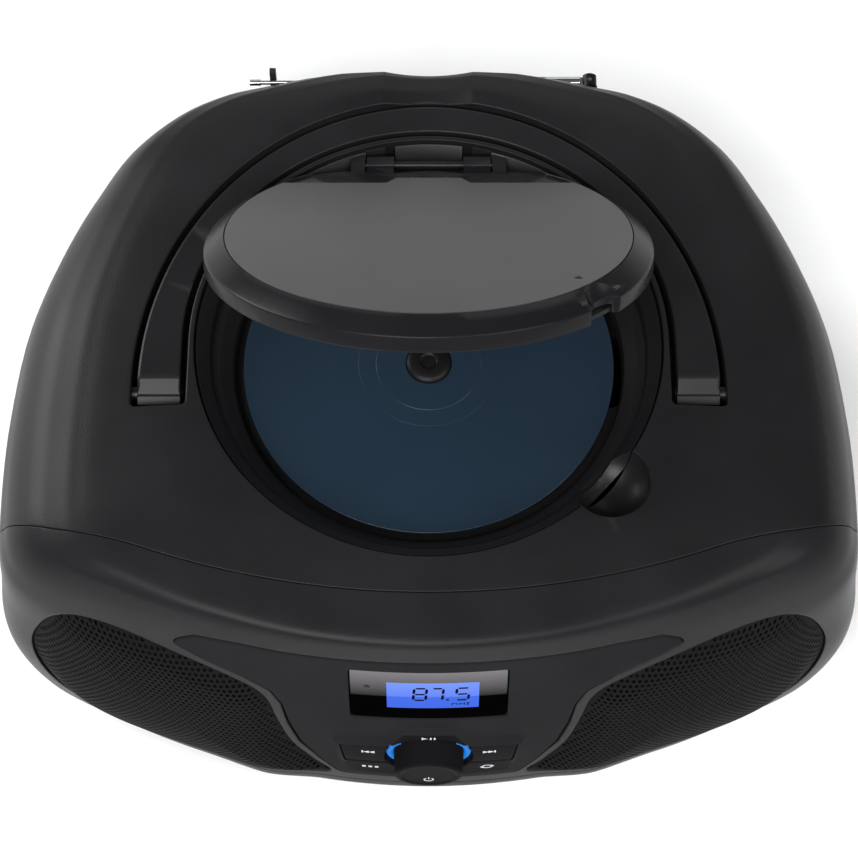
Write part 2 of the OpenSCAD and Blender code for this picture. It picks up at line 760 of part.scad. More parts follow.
module motor_pinion() {
  color([0.85, 0.8, 0.6]) at_disc() translate([pinion_x, gear_y, 73.5]) rotate(180 / pinion_teeth)
    gear(pinion_teeth, 2.4, 0.9);
}

module sled_motor() {
  color(steel) at_disc() translate([pinion_x, gear_y, 0]) union() {
    translate([0, 0, 54.6]) cylinder(h = 17, r = 6);
    translate([0, 0, 71]) cylinder(h = 5.4, r = 0.85);
  }
}

module laser_sled() {
  pitch = PI * tooth_m;
  color([0.25, 0.25, 0.27]) at_disc() difference() {
    union() {
      block([lens_start - 8, -20.5, 76.2], [lens_start + 8, 20.5, 82.4]);
      translate([lens_start, 0, 80]) cylinder(h = 12.4, r = 5.5);
      block([gear_x - 38, -21.6, 75.9], [gear_x + 3, -20.3, 78.2]);
      for (i = [-15 : 0]) translate([gear_x + (i + 0.5) * pitch, rack_y, 75.9]) linear_extrude(2.3)
        polygon([[-0.75, 1.3], [-0.75, 0.85], [-0.3, -0.6], [0.3, -0.6], [0.75, 0.85], [0.75, 1.3]]);
    }
    for (s = [-1, 1])
      x_cylinder(rod_r + 0.05, 0, 80, s * rod_y, rod_z);
    translate([lens_start, 0, 91]) cylinder(h = 5, r = 3);
  }
}

module laser_lens() {
  color([0.6, 0.75, 0.9]) at_disc() translate([lens_start, 0, 91]) rotate_extrude()
    polygon([[0, 0], [3, 0], [3, 1.2], [2.4, 2.2], [1.4, 2.8], [0, 3]]);
}

// ---- Handle ----
handle_low = pivot_z - 4.5;
handle_split = 111;
handle_top = pivot_z + 6.9;
pin_r = 2.5;

// Side view (y, z) of the handle about its pivot: round end, bevel and flat top
module handle_side(z0, z1) {
  rotate([90, 0, 90]) translate([0, 0, -100]) linear_extrude(200) intersection() {
    union() {
      translate([pivot_y, pivot_z]) circle(r = 5.3);
      polygon([[pivot_y, handle_low], [100, handle_low], [100, handle_top], [pivot_y + 2.4, handle_top],
        [pivot_y - 4.9, pivot_z + 2], [pivot_y - 5.2, pivot_z]]);
    }
    translate([-60, z0]) square([200, z1 - z0]);
  }
}

module handle_plan() {
  difference() {
    handle_outer_plan(0, pivot_y - 6);
    handle_inner_plan(handle_r, pivot_y - 8);
  }
}

module handle_frame() {
  color(charcoal) at_disc() difference() {
    intersection() {
      translate([0, 0, handle_low - 2]) linear_extrude(20) handle_plan();
      handle_side(handle_low - 2, handle_split);
    }
    x_cylinder(pin_r + 0.06, -100, 100, pivot_y, pivot_z);
  }
}

module handle_cover() {
  color(charcoal) at_disc() intersection() {
    translate([0, 0, handle_low - 2]) linear_extrude(20) handle_plan();
    handle_side(handle_split, handle_top);
  }
}

module handle_pivots() {
  color(steel) at_disc() for (s = [0, 1]) mirror([s, 0, 0])
    x_cylinder(pin_r, handle_r + 3, 97.8, pivot_y, pivot_z);
}

// ---- Speakers, drawn about the driver's axis with +Z towards the listener ----
driver_y = -86;
driver_sink = 5;
module at_driver(s) {
  at_disc() translate([s * driver_x, driver_y, driver_z]) rotate([0, 0, s * driver_turn]) rotate([90, 0, 0])
    translate([0, 0, -driver_sink]) children();
}

module baffle(s) {
  color([0.14, 0.14, 0.15]) at_driver(s) difference() {
    linear_extrude(2.2) intersection() {
      circle(r = 43);
      square([78, 73], center = true);
    }
    translate([0, 0, -1]) cylinder(h = 5, r = 33.5);
    for (a = [45 : 90 : 315]) rotate(a) translate([36.2, 0, -1]) cylinder(h = 5, r = 1.2);
  }
}

module basket(s) {
  color([0.3, 0.3, 0.32]) at_driver(s) difference() {
    rotate_extrude() polygon([[33, 0], [38, 0], [38, -1.4], [33.6, -1.4], [25, -16], [15, -17.4], [11, -17.4],
      [11, -16.4], [15, -16.4], [24.2, -15], [32.4, -1.2]]);
    for (a = [45 : 90 : 315]) rotate(a) translate([36.2, 0, -3]) cylinder(h = 5, r = 1.2);
    for (a = [0 : 90 : 270]) rotate(a) translate([18, -6, -15]) cube([18, 12, 10]);
  }
}

module magnet(s) {
  color([0.35, 0.35, 0.37]) at_driver(s) union() {
    translate([0, 0, -19.4]) cylinder(h = 2, r = 19);
    translate([0, 0, -27.4]) cylinder(h = 8, r = 20.5);
    translate([0, 0, -29.4]) cylinder(h = 2, r = 19);
  }
}

module cone_shape(s) {
  color([0.1, 0.1, 0.1]) at_driver(s)
    rotate_extrude() polygon([[9.6, -11.6], [9.6, -13.4], [11, -13.4], [29.5, -2.2], [30.4, -0.6], [31.4, -0.9],
      [32.4, -0.9], [32.4, 0], [31.6, 0.7], [30, 0.7], [28.8, -1.2], [10.6, -11.6]]);
}

module cap_shape(s) {
  color([0.12, 0.12, 0.12]) at_driver(s) intersection() {
    translate([0, 0, -18.5]) difference() {
      sphere(r = 12.3);
      sphere(r = 11.5);
    }
    translate([0, 0, -11.6]) cylinder(h = 8, r = 12);
  }
}

module speaker_baffle_left() { baffle(-1); }
module speaker_baffle_right() { baffle(1); }
module speaker_basket_left() { basket(-1); }
module speaker_basket_right() { basket(1); }
module speaker_magnet_left() { magnet(-1); }
module speaker_magnet_right() { magnet(1); }
module speaker_cone_left() { cone_shape(-1); }
module speaker_cone_right() { cone_shape(1); }
module dust_cap_left() { cap_shape(-1); }
module dust_cap_right() { cap_shape(1); }

// ---- Electronics and power ----
module main_board() {
  color(board_green) at_disc() union() {
    difference() {
      block([-76, -58, board_z], [76, 20, board_z + board_t]);
      for (p = board_posts)
        translate([p.x, p.y, board_z - 1]) cylinder(h = 5, r = 1.6);
    }
    block([-30, -20, board_z + 1.5], [-12, -2, board_z + 3.6]);
    block([10, -14, board_z + 1.5], [20, -4, board_z + 3.4]);
    block([30, -44, board_z + 1.5], [58, -40, board_z + 18]);
    for (x = [30 : 12 : 54]) translate([x, 10, board_z + 1.5]) cylinder(h = 14, r = 4.5);
  }
}

module transformer() {
  color([0.4, 0.38, 0.36]) at_disc() union() {
    block([-113, -6, 8], [-85, 26, 44]);
    block([-111, -14, 12], [-87, 34, 40]);
    block([-115, -11, 5.4], [-83, 31, 8.1]);
  }
}

module mains_inlet() {
  color([0.05, 0.05, 0.05]) at_disc() union() {
    difference() {
      block([inlet_pos.x - 12, 90, inlet_pos.z - 8], [inlet_pos.x + 12, inlet_pos.y, inlet_pos.z + 8]);
      front_prism(93, 120) union() {
        for (s = [-1, 1]) translate([inlet_pos.x + s * 4.3, inlet_pos.z]) circle(r = 4.6);
        translate([inlet_pos.x - 4.3, inlet_pos.z - 3.6]) square([8.6, 7.2]);
      }
    }
    for (s = [-1, 1])
      y_cylinder(1.2, 87, 101.5, inlet_pos.x + s * 4.3, inlet_pos.z);
  }
}

module audio_jacks() {
  jack_face = 105;
  color([0.06, 0.06, 0.06]) at_disc() difference() {
    union() {
      block([jack_xs[0] - 8, 101.5, jack_z - 7], [jack_xs[1] + 8, 103.5, jack_z + 7]);
      for (x = jack_xs) {
        block([x - 5, 92, jack_z - 5], [x + 5, 102, jack_z + 5]);
        y_cylinder(4.2, 100, jack_face, x, jack_z);
      }
    }
    for (x = jack_xs)
      y_cylinder(1.8, 93, 110, x, jack_z);
  }
}

// Contact plates of the battery bay, each with a coil stood in as a stepped cone
module battery_contacts() {
  color(steel) at_disc() for (s = [-1, 1], y = [41, 69])
    translate([s * 77.8, y, 19]) rotate([0, -s * 90, 0]) union() {
    translate([-9, -9, 0]) cube([18, 18, 0.6]);
    for (i = [0 : 3])
      translate([0, 0, 0.5 + 1.1 * i]) cylinder(h = 1.1 + eps, r = 6 - i);
  }
}

// ---- Telescopic antenna, lying along the back ----
module antenna_knuckle() {
  p = antenna_pos;
  color([0.08, 0.08, 0.08]) at_disc() difference() {
    union() {
      y_cylinder(2, 97.5, p.y - 1.5, p.x, p.z);
      y_cylinder(2.6, p.y - 2.5, p.y + 2.1, p.x, p.z);
    }
    block([p.x - 5, p.y - 1.9, p.z - 1.15], [p.x + 5, 115, p.z + 1.15]);
    translate([p.x, p.y, p.z - 6]) cylinder(h = 12, r = 0.9);
  }
}

tube_end = -30;
tip_end = -61.5;
module antenna_tube() {
  p = antenna_pos;
  color(steel) at_disc() union() {
    difference() {
      x_cylinder(2.1, tube_end, p.x - 3.4, p.y, p.z);
      x_cylinder(1.46, tube_end - 1, p.x - 7, p.y, p.z);
    }
    block([p.x - 4.6, p.y - 1.6, p.z - 0.95], [p.x, p.y + 1.6, p.z + 0.95]);
    translate([p.x, p.y, p.z - 0.95]) cylinder(h = 1.9, r = 1.6);
    translate([p.x, p.y, p.z - 2.2]) cylinder(h = 4.4, r = 0.84);
  }
}

module antenna_rod() {
  p = antenna_pos;
  color(steel) at_disc() union() {
    x_cylinder(1.4, -42, p.x - 9, p.y, p.z);
    x_cylinder(0.8, tip_end + 3, -41.9, p.y, p.z);
    x_cylinder(1.1, tip_end, tip_end + 3.8, p.y, p.z);
  }
}

base_case();
front_case();
upper_case();
control_panel();
cd_well();
battery_door();
rubber_feet();
case_screws();
speaker_grille_left();
speaker_grille_right();
speaker_baffle_left();
speaker_baffle_right();
speaker_basket_left();
speaker_basket_right();
speaker_magnet_left();
speaker_magnet_right();
speaker_cone_left();
speaker_cone_right();
dust_cap_left();
dust_cap_right();
display_window();
lcd_module();
front_board();
tact_switches();
led_ring();
play_button();
previous_button();
next_button();
function_button();
repeat_button();
volume_knob();
volume_encoder();
encoder_plunger();
lid_shell();
lid_top_plate();
lid_inner_cover();
lid_hinge_pin();
compact_disc();
disc_hub();
spindle_motor();
drive_chassis();
damper_grommets();
guide_rods();
laser_sled();
laser_lens();
sled_motor();
motor_pinion();
reduction_gear();
handle_frame();
handle_cover();
handle_pivots();
main_board();
transformer();
mains_inlet();
audio_jacks();
battery_contacts();
antenna_knuckle();
antenna_tube();
antenna_rod();
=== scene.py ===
"""Looks of the boombox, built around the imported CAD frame. Lengths are in millimetres in the
design's own frame, whose origin is under the disc's axis, and are turned to metres at the end."""
import json
import math

import bmesh
import bpy
import numpy as np
from mathutils import Matrix, Vector, geometry, kdtree

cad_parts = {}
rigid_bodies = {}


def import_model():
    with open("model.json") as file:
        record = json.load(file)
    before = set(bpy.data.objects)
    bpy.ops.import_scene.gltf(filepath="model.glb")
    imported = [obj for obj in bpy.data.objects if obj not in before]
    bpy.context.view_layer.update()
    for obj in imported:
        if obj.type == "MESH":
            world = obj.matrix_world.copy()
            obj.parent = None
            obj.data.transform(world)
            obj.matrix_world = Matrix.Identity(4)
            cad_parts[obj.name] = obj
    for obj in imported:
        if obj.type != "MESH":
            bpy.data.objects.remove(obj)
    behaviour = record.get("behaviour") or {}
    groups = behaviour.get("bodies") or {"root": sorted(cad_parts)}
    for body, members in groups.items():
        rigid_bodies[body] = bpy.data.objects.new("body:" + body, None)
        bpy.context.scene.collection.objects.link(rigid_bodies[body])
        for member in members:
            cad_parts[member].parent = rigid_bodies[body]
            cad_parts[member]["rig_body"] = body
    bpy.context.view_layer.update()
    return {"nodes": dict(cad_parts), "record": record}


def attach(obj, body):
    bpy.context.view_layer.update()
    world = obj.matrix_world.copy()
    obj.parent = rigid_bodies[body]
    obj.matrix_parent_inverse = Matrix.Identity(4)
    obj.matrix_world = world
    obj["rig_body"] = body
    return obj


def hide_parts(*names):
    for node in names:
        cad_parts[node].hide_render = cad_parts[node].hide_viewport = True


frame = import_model()
nodes = frame["nodes"]

DISC_Y = 4.0  # the disc's axis lies this far behind the footprint's middle
MM = 0.001


def to_metres(points):
    return (np.asarray(points, float) + (0, DISC_Y, 0)) * MM


# ---------------------------------------------------------------- curves
def catmull(a, b, c, d, t):
    """A point of the smooth curve between b and c."""
    return 0.5 * (2 * b + (c - a) * t + (2 * a - 5 * b + 4 * c - d) * t * t + (3 * b - a - 3 * c + d) * t**3)


def smooth_closed(points, steps):
    p = np.array(points, float)
    return np.array([catmull(*np.roll(p, 1 - i, axis=0)[:4], k / steps)
                     for i in range(len(p)) for k in range(steps)])


def smooth_open(points, steps):
    """A smooth line through points whose two ends lie on the plane of symmetry."""
    p = np.array(points, float)
    q = np.vstack([p[1] * (-1, 1), p, p[-2] * (-1, 1)])
    return np.array([catmull(*q[i:i + 4], k / steps) for i in range(len(p) - 1) for k in range(steps)] + [p[-1]])


def monotone(xs, ys):
    """A smooth curve through the points that doesn't overshoot between them."""
    x, y = np.array(xs, float), np.array(ys, float)
    h, s = np.diff(x), np.diff(y) / np.diff(x)
    m = np.zeros(len(x))
    same = s[:-1] * s[1:] > 0
    w1, w2 = 2 * h[1:] + h[:-1], h[1:] + 2 * h[:-1]
    inner = np.zeros(len(x) - 2)
    inner[same] = (w1 + w2)[same] / (w1[same] / s[:-1][same] + w2[same] / s[1:][same])
    m[1:-1], m[0], m[-1] = inner, s[0], s[-1]

    def at(q):
        q = np.clip(q, x[0], x[-1])
        i = np.clip(np.searchsorted(x, q, side="right") - 1, 0, len(x) - 2)
        t = (q - x[i]) / h[i]
        return ((1 + 2 * t) * (1 - t) ** 2 * y[i] + t * (1 - t) ** 2 * h[i] * m[i]
                + t * t * (3 - 2 * t) * y[i + 1] + t * t * (t - 1) * h[i] * m[i + 1])
    return at


def smoothstep(t):
    t = np.clip(t, 0, 1)
    return t * t * (3 - 2 * t)


def resample(points, step):
    """A closed polygon with its points about step apart."""
    p = np.array(points, float)
    out = []
    for a, b in zip(p, np.roll(p, -1, axis=0)):
        n = max(1, int(round(np.linalg.norm(b - a) / step)))
        out += [a + (b - a) * k / n for k in range(n)]
    return np.array(out)


def rounded(points, radius, step=1.2, sharp=14):
    """A closed polygon with its corners rounded, and points about step apart along it."""
    p = np.array(points, float)
    out = []
    for i in range(len(p)):
        a, b, c = p[i - 1], p[i], p[(i + 1) % len(p)]
        u, v = (a - b) / np.linalg.norm(a - b), (c - b) / np.linalg.norm(c - b)
        turn = math.pi - math.acos(max(-1, min(1, float(u @ v))))
        if turn < math.radians(sharp):
            out.append(b)
            continue
        d = min(radius * math.tan(turn / 2), 0.45 * np.linalg.norm(a - b), 0.45 * np.linalg.norm(c - b))
        n = max(3, int(math.degrees(turn) / 14))
        for k in range(n + 1):
            t = k / n
            out.append(b + u * d * (1 - t) ** 2 + v * d * t * t)
    return resample(out, step)


def area(loop):
    """Area of a closed loop, above zero when it runs anticlockwise."""
    x, y = loop[:, 0], loop[:, 1]
    return 0.5 * float(np.sum(x * np.roll(y, -1) - np.roll(x, -1) * y))


def ccw(loop):
    return loop if area(loop) > 0 else loop[::-1]


def outward(loop):
    """The direction out of an anticlockwise loop at each of its points."""
    t = np.roll(loop, -1, 0) - np.roll(loop, 1, 0)
    return np.stack([t[:, 1], -t[:, 0]], -1) / np.linalg.norm(t, axis=1)[:, None]


def at_height(loop, z):
    """Flat points with a third coordinate added."""
    return np.column_stack([loop, np.broadcast_to(z, len(loop))])


def inside(points, loop):
    """Which points lie inside a closed loop."""
    p, hit = np.asarray(points, float), np.zeros(len(points), bool)
    for a, b in zip(loop, np.roll(loop, -1, axis=0)):
        if a[1] == b[1]:
            continue
        cross = (p[:, 1] > a[1]) != (p[:, 1] > b[1])
        hit ^= cross & (p[:, 0] < (b[0] - a[0]) * (p[:, 1] - a[1]) / (b[1] - a[1]) + a[0])
    return hit


# ---------------------------------------------------------------- the body's outer surface
HALF_WIDTH, WIDE_Y, TIP, BACK = 139.5, -48.0, -115.0, 112.2
HALF_PLAN = [(0, TIP), (43, -111.3), (82, -101.2), (112, -88.8), (129.5, -79), (137.5, -67), (HALF_WIDTH, WIDE_Y),
             (139, -15), (134, 22), (121, 57), (103, 82), (76, 100), (40, 109.6), (0, BACK)]
WIDTH_AT = [(3, 126), (8, 131), (14, 134.5), (30, 138), (50, 139.5), (70, 139.2), (84, 137.5), (94, 133.5),
            (101, 128.5), (107, 120.5), (110.2, 112), (111.9, 105), (113, 98), (114.4, 86), (115, 77)]
FRONT_AT = [(3, -110), (8, -114.3), (14, -114.2), (30, -113.3), (50, -111.6), (70, -109.3), (84, -107.2),
            (94, -105.3), (101, -104.2), (108, -102.9), (109.3, -102.4), (110.2, -101.3), (110.6, -100.2),
            (111.9, -92), (113, -84), (114.4, -74), (115, -66)]
BACK_AT = [(3, 104), (8, 107), (14, 109), (30, 111.5), (50, BACK), (90, 112), (101, 110.5), (107, 108.6),
           (110.2, 106.5), (113, 102.5), (114.4, 98.5), (115, 94.5)]

_half = smooth_open(HALF_PLAN, 40)
_half[:, 1] -= WIDE_Y
_angle, _radius = np.arctan2(_half[:, 1], _half[:, 0]), np.hypot(_half[:, 0], _half[:, 1])
_angle[0], _angle[-1] = -math.pi / 2, math.pi / 2
_heights = sorted({z for t in (WIDTH_AT, FRONT_AT, BACK_AT) for z, _ in t}, reverse=True)
_rows = [np.interp(_heights, *zip(*t)) for t in (WIDTH_AT, FRONT_AT, BACK_AT)]
_rows = [np.concatenate([[c], r]) for c, r in zip((0, WIDE_Y, WIDE_Y), _rows)]
_heights = np.array([_heights[0]] + _heights)
_v = np.concatenate([[0], np.cumsum(np.sqrt(sum(np.diff(r) ** 2 for r in _rows) / 3 + np.diff(_heights) ** 2))])
width_v, front_v, back_v, height_v = (monotone(_v, r) for r in (*_rows, _heights))
_dense_v = np.linspace(_v[1], _v[-1], 1200)
_dense_z = height_v(_dense_v)


def ring_radius(phi):
    """Distance of the body's outline from the middle of its widest row, at a plan angle."""
    folded = np.arcsin(np.clip(np.sin(phi), -1, 1))
    return np.interp(folded, _angle, _radius)


def v_at(z):
    """How far down the body's profile a height is, measured along it."""
    return np.interp(-np.asarray(z, float), -_dense_z, _dense_v)


def scales(v, front):
    """The outline's size at v as a part of its widest: sideways, and towards the front or the back."""
    kx = width_v(v) / HALF_WIDTH
    kf = (front_v(v) - WIDE_Y) / (TIP - WIDE_Y)
    kb = (back_v(v) - WIDE_Y) / (BACK - WIDE_Y)
    return kx, np.where(front, kf, kb)


def chart(phi, v):
    """The flat chart of the body: angle phi, at a distance that grows with v."""
    r = v * ring_radius(phi) / HALF_WIDTH
    return np.stack([r * np.cos(phi), r * np.sin(phi)], -1)


def body(q):
    """Point of the body at chart places q."""
    q = np.asarray(q, float)
    phi = np.arctan2(q[:, 1], q[:, 0])
    v = np.hypot(q[:, 0], q[:, 1]) * HALF_WIDTH / ring_radius(phi)
    kx, ky = scales(v, q[:, 1] < 0)
    r = ring_radius(phi)
    return np.stack([r * np.cos(phi) * kx, WIDE_Y + r * np.sin(phi) * ky, height_v(v)], -1)


def from_plan(xy):
    """Chart places of the top's points that lie at plan places xy."""
    xy = np.asarray(xy, float)
    low, high = np.full(len(xy), 1e-3), np.full(len(xy), float(v_at(50)))
    for _ in range(50):
        v = (low + high) / 2
        kx, ky = scales(v, xy[:, 1] < WIDE_Y)
        px, py = xy[:, 0] / kx, (xy[:, 1] - WIDE_Y) / ky
        outside = np.hypot(px, py) > ring_radius(np.arctan2(py, px))
        low, high = np.where(outside, v, low), np.where(outside, high, v)
    return chart(np.arctan2(py, px), v)


_phi_dense = np.linspace(-math.pi + 0.02, -0.02, 1500)


def from_front(xz):
    """Chart places of the front's points at x, z."""
    xz = np.asarray(xz, float)
    v = v_at(xz[:, 1])
    kx, _ = scales(v, True)
    xs = ring_radius(_phi_dense) * np.cos(_phi_dense)
    return chart(np.interp(xz[:, 0] / kx, xs, _phi_dense), v)


def front_point(xz):
    """The body's points that are seen at x, z from the front."""
    return body(from_front(xz))


def top_z(xy):
    return body(from_plan(xy))[:, 2]


# ---------------------------------------------------------------- meshes
SHARP_ANGLE = 38


def drawn(name, verts, faces):
    """A mesh in metres from points in millimetres in the design's frame."""
    me = bpy.data.meshes.new(name)
    me.from_pydata([tuple(p) for p in to_metres(verts)], [], [list(map(int, f)) for f in faces])
    return me


def make(name, verts, faces, look, slot, replaces=None, ride="cabinet", weighted=True, bevel=0.0, angle=30.0,
         merge=0.0):
    """A finished mesh piece from points in millimetres in the design's frame."""
    me = drawn(name, verts, faces)
    me.validate()
    if merge:
        bm = bmesh.new()
        bm.from_mesh(me)
        bmesh.ops.remove_doubles(bm, verts=bm.verts, dist=merge * MM)
        bmesh.ops.recalc_face_normals(bm, faces=bm.faces)
        bm.to_mesh(me)
        bm.free()
    return finish_piece(name, me, look, slot, replaces, ride, weighted, bevel, angle)


def linked(name, data):
    """A new object in the scene."""
    o = bpy.data.objects.new(name, data)
    bpy.context.scene.collection.objects.link(o)
    return o


def finish_piece(name, me, look, slot, replaces=None, ride="cabinet", weighted=True, bevel=0.0, angle=30.0):
    """The object of a mesh in metres, with its material, its edges and what the frame has to know of it."""
    obj = linked(name, me)
    me.materials.clear()
    me.materials.append(look)
    me.polygons.foreach_set("use_smooth", np.ones(len(me.polygons), bool))
    if bevel:
        b = obj.modifiers.new("edges", "BEVEL")
        b.width, b.segments, b.limit_method, b.angle_limit = bevel * MM, 2, "ANGLE", math.radians(angle)
        b.miter_outer = "MITER_ARC"
        b.use_clamp_overlap = True
    if weighted:
        if not bevel:
            me.set_sharp_from_angle(angle=math.radians(SHARP_ANGLE))
        w = obj.modifiers.new("normals", "WEIGHTED_NORMAL")
        w.keep_sharp = not bevel
        w.weight = 60
    if replaces:
        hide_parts(replaces)
    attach(obj, ride)
    return obj


def triangulate(loops, surface_points, keep):
    """Constrained triangles over all the loops and points, kept where keep() says."""
    coords, edges = [], []
    for loop in loops:
        start = len(coords)
        coords += [Vector(p) for p in loop]
        edges += [(start + i, start + (i + 1) % len(loop)) for i in range(len(loop))]
    coords += [Vector(p) for p in surface_points]
    verts, _, faces, *_ = geometry.delaunay_2d_cdt(coords, edges, [], 0, 1e-6)
    flat = np.array([tuple(v) for v in verts])
    tri = np.array([f for f in faces if len(f) == 3])
    tri = tri[keep(flat[tri].mean(1))]
    return flat, tri


def grid_points(loops, keep, step, fine=None):
    """A staggered grid of points inside the region, clear of its loops. fine is (test, step) for a denser zone."""
    allp = np.vstack(loops)
    lo, hi = allp.min(0), allp.max(0)
    tree = nearest(allp)
    out = []
    for s, test in [(step, None)] + ([(fine[1], fine[0])] if fine else []):
        ys = np.arange(lo[1], hi[1], s * 0.866)
        pts = np.vstack([at_height(np.arange(lo[0] + (j % 2) * s / 2, hi[0], s)[:, None], y)
                         for j, y in enumerate(ys)])
        if fine:
            zone = fine[0](pts)
            pts = pts[zone if test else ~zone]
        pts = pts[keep(pts)]
        out += [p for p in pts if tree.find((p[0], p[1], 0))[2] > 0.55 * s]
    return np.array(out) if out else np.zeros((0, 2))


def nearest(points):
    """A search tree over flat points."""
    tree = kdtree.KDTree(len(points))
    for i, p in enumerate(points):
        tree.insert((p[0], p[1], 0), i)
    tree.balance()
    return tree


INWARD, DOWN = (0, 1, 0), (0, 0, -1)


def lip(q, r, depth, wall=INWARD):
    """A sheet's edge: its chart points, its rounding radius, how deep its wall goes and which way, where None
    is straight in from the surface."""
    return dict(q=q, r=r, depth=depth, wall=wall)


def sheet(surface, outer_lip, hole_lips, thick, step, fine=None):
    """A closed shell that follows surface(q), inside one lip and outside the others. Returns verts and faces."""
    rims = [dict(outer_lip, sign=-1)] + [dict(h, sign=1) for h in hole_lips]
    for rim in rims:
        q = ccw(rim["q"])
        n, p = outward(q) * rim["sign"], surface(q)
        stretch = np.linalg.norm(surface(q + n * 0.1) - p, axis=1) / 0.1
        rim["start"] = q + n * (rim["r"] / np.maximum(stretch, 0.2))[:, None]
        rim["edge"] = p
    loops = [r["start"] for r in rims]

    def keep(pts):
        k = inside(pts, loops[0])
        for loop in loops[1:]:
            k &= ~inside(pts, loop)
        return k
    flat, tri = triangulate(loops, grid_points(loops, keep, step, fine), keep)
    used = np.unique(tri)
    remap = -np.ones(len(flat), int)
    remap[used] = np.arange(len(used))
    flat, tri = flat[used], remap[tri]
    top = surface(flat)
    e = 0.05
    n = np.cross(surface(flat + (e, 0)) - surface(flat - (e, 0)), surface(flat + (0, e)) - surface(flat - (0, e)))
    n /= np.linalg.norm(n, axis=1)[:, None]
    tree = nearest(flat)
    verts = [top, top - n * thick]
    count = len(top)
    faces = [tuple(f) for f in tri] + [tuple(f[::-1] + count) for f in tri]
    total = 2 * count
    for rim in rims:
        idx = np.array([tree.find((p[0], p[1], 0))[1] for p in rim["start"]])
        edge, wall = rim["edge"], -n[idx] if rim["wall"] is None else np.array(rim["wall"], float)
        low = edge + wall * rim["r"]
        bends = [top[idx] * (1 - t) ** 2 + edge * 2 * t * (1 - t) + low * t * t for t in (0.25, 0.5, 0.75, 1)]
        if rim["depth"] > rim["r"] + 1e-3:
            bends.append(edge + wall * max(rim["depth"], rim["r"] + 0.02))
        rows = [idx] + [total + k * len(idx) + np.arange(len(idx)) for k in range(len(bends))] + [idx + count]
        verts += bends
        total += len(bends) * len(idx)
        for a, b in zip(rows[:-1], rows[1:]):
            a2, b2 = np.roll(a, -1), np.roll(b, -1)
            quad = np.stack([a, a2, b2, b] if rim["sign"] > 0 else [a, b, b2, a2], -1)
            faces += [tuple(f) for f in quad]
    return np.vstack(verts), faces


def merged(*parts):
    """Several (verts, faces) as one."""
    verts, faces, base = [], [], 0
    for v, f in parts:
        verts.append(np.asarray(v, float))
        faces += [tuple(int(i) + base for i in face) for face in f]
        base += len(v)
    return np.vstack(verts), faces


def inset(loop, distance):
    """A closed loop moved towards its inside by distance."""
    q = ccw(loop)
    return q - outward(q) * distance


def respaced(q, surface, step):
    """A closed chart loop with its points about step apart on the surface."""
    ring = np.vstack([q, q[:1]])
    far = np.concatenate([[0], np.cumsum(np.linalg.norm(np.diff(surface(ring), axis=0), axis=1))])
    at = np.linspace(0, far[-1], max(8, int(far[-1] / step)) + 1)[:-1]
    return np.stack([np.interp(at, far, ring[:, k]) for k in (0, 1)], -1)


def arc(radius, a0, a1, n, centre=(0, 0), squash=1.0):
    t = np.radians(np.linspace(a0, a1, n))
    return np.stack([centre[0] + radius * np.cos(t), centre[1] + radius * squash * np.sin(t)], -1)


def distance_to(loop, pts):
    """Distance of points to a closed loop, below zero inside it."""
    best = np.full(len(pts), 1e9)
    for a, b in zip(loop, np.roll(loop, -1, axis=0)):
        d = b - a
        t = np.clip(((pts - a) @ d) / max(float(d @ d), 1e-12), 0, 1)
        best = np.minimum(best, np.linalg.norm(pts - a - t[:, None] * d, axis=1))
    return np.where(inside(pts, loop), -best, best)


# ---------------------------------------------------------------- materials
def added(tree, kind, **values):
    """A new shader node with its inputs set."""
    node = tree.nodes.new("ShaderNode" + kind)
    for name, value in values.items():
        node.inputs[name.replace("_", " ")].default_value = value
    return node


def only(tree, kind):
    return next(n for n in tree.nodes if n.type == kind)


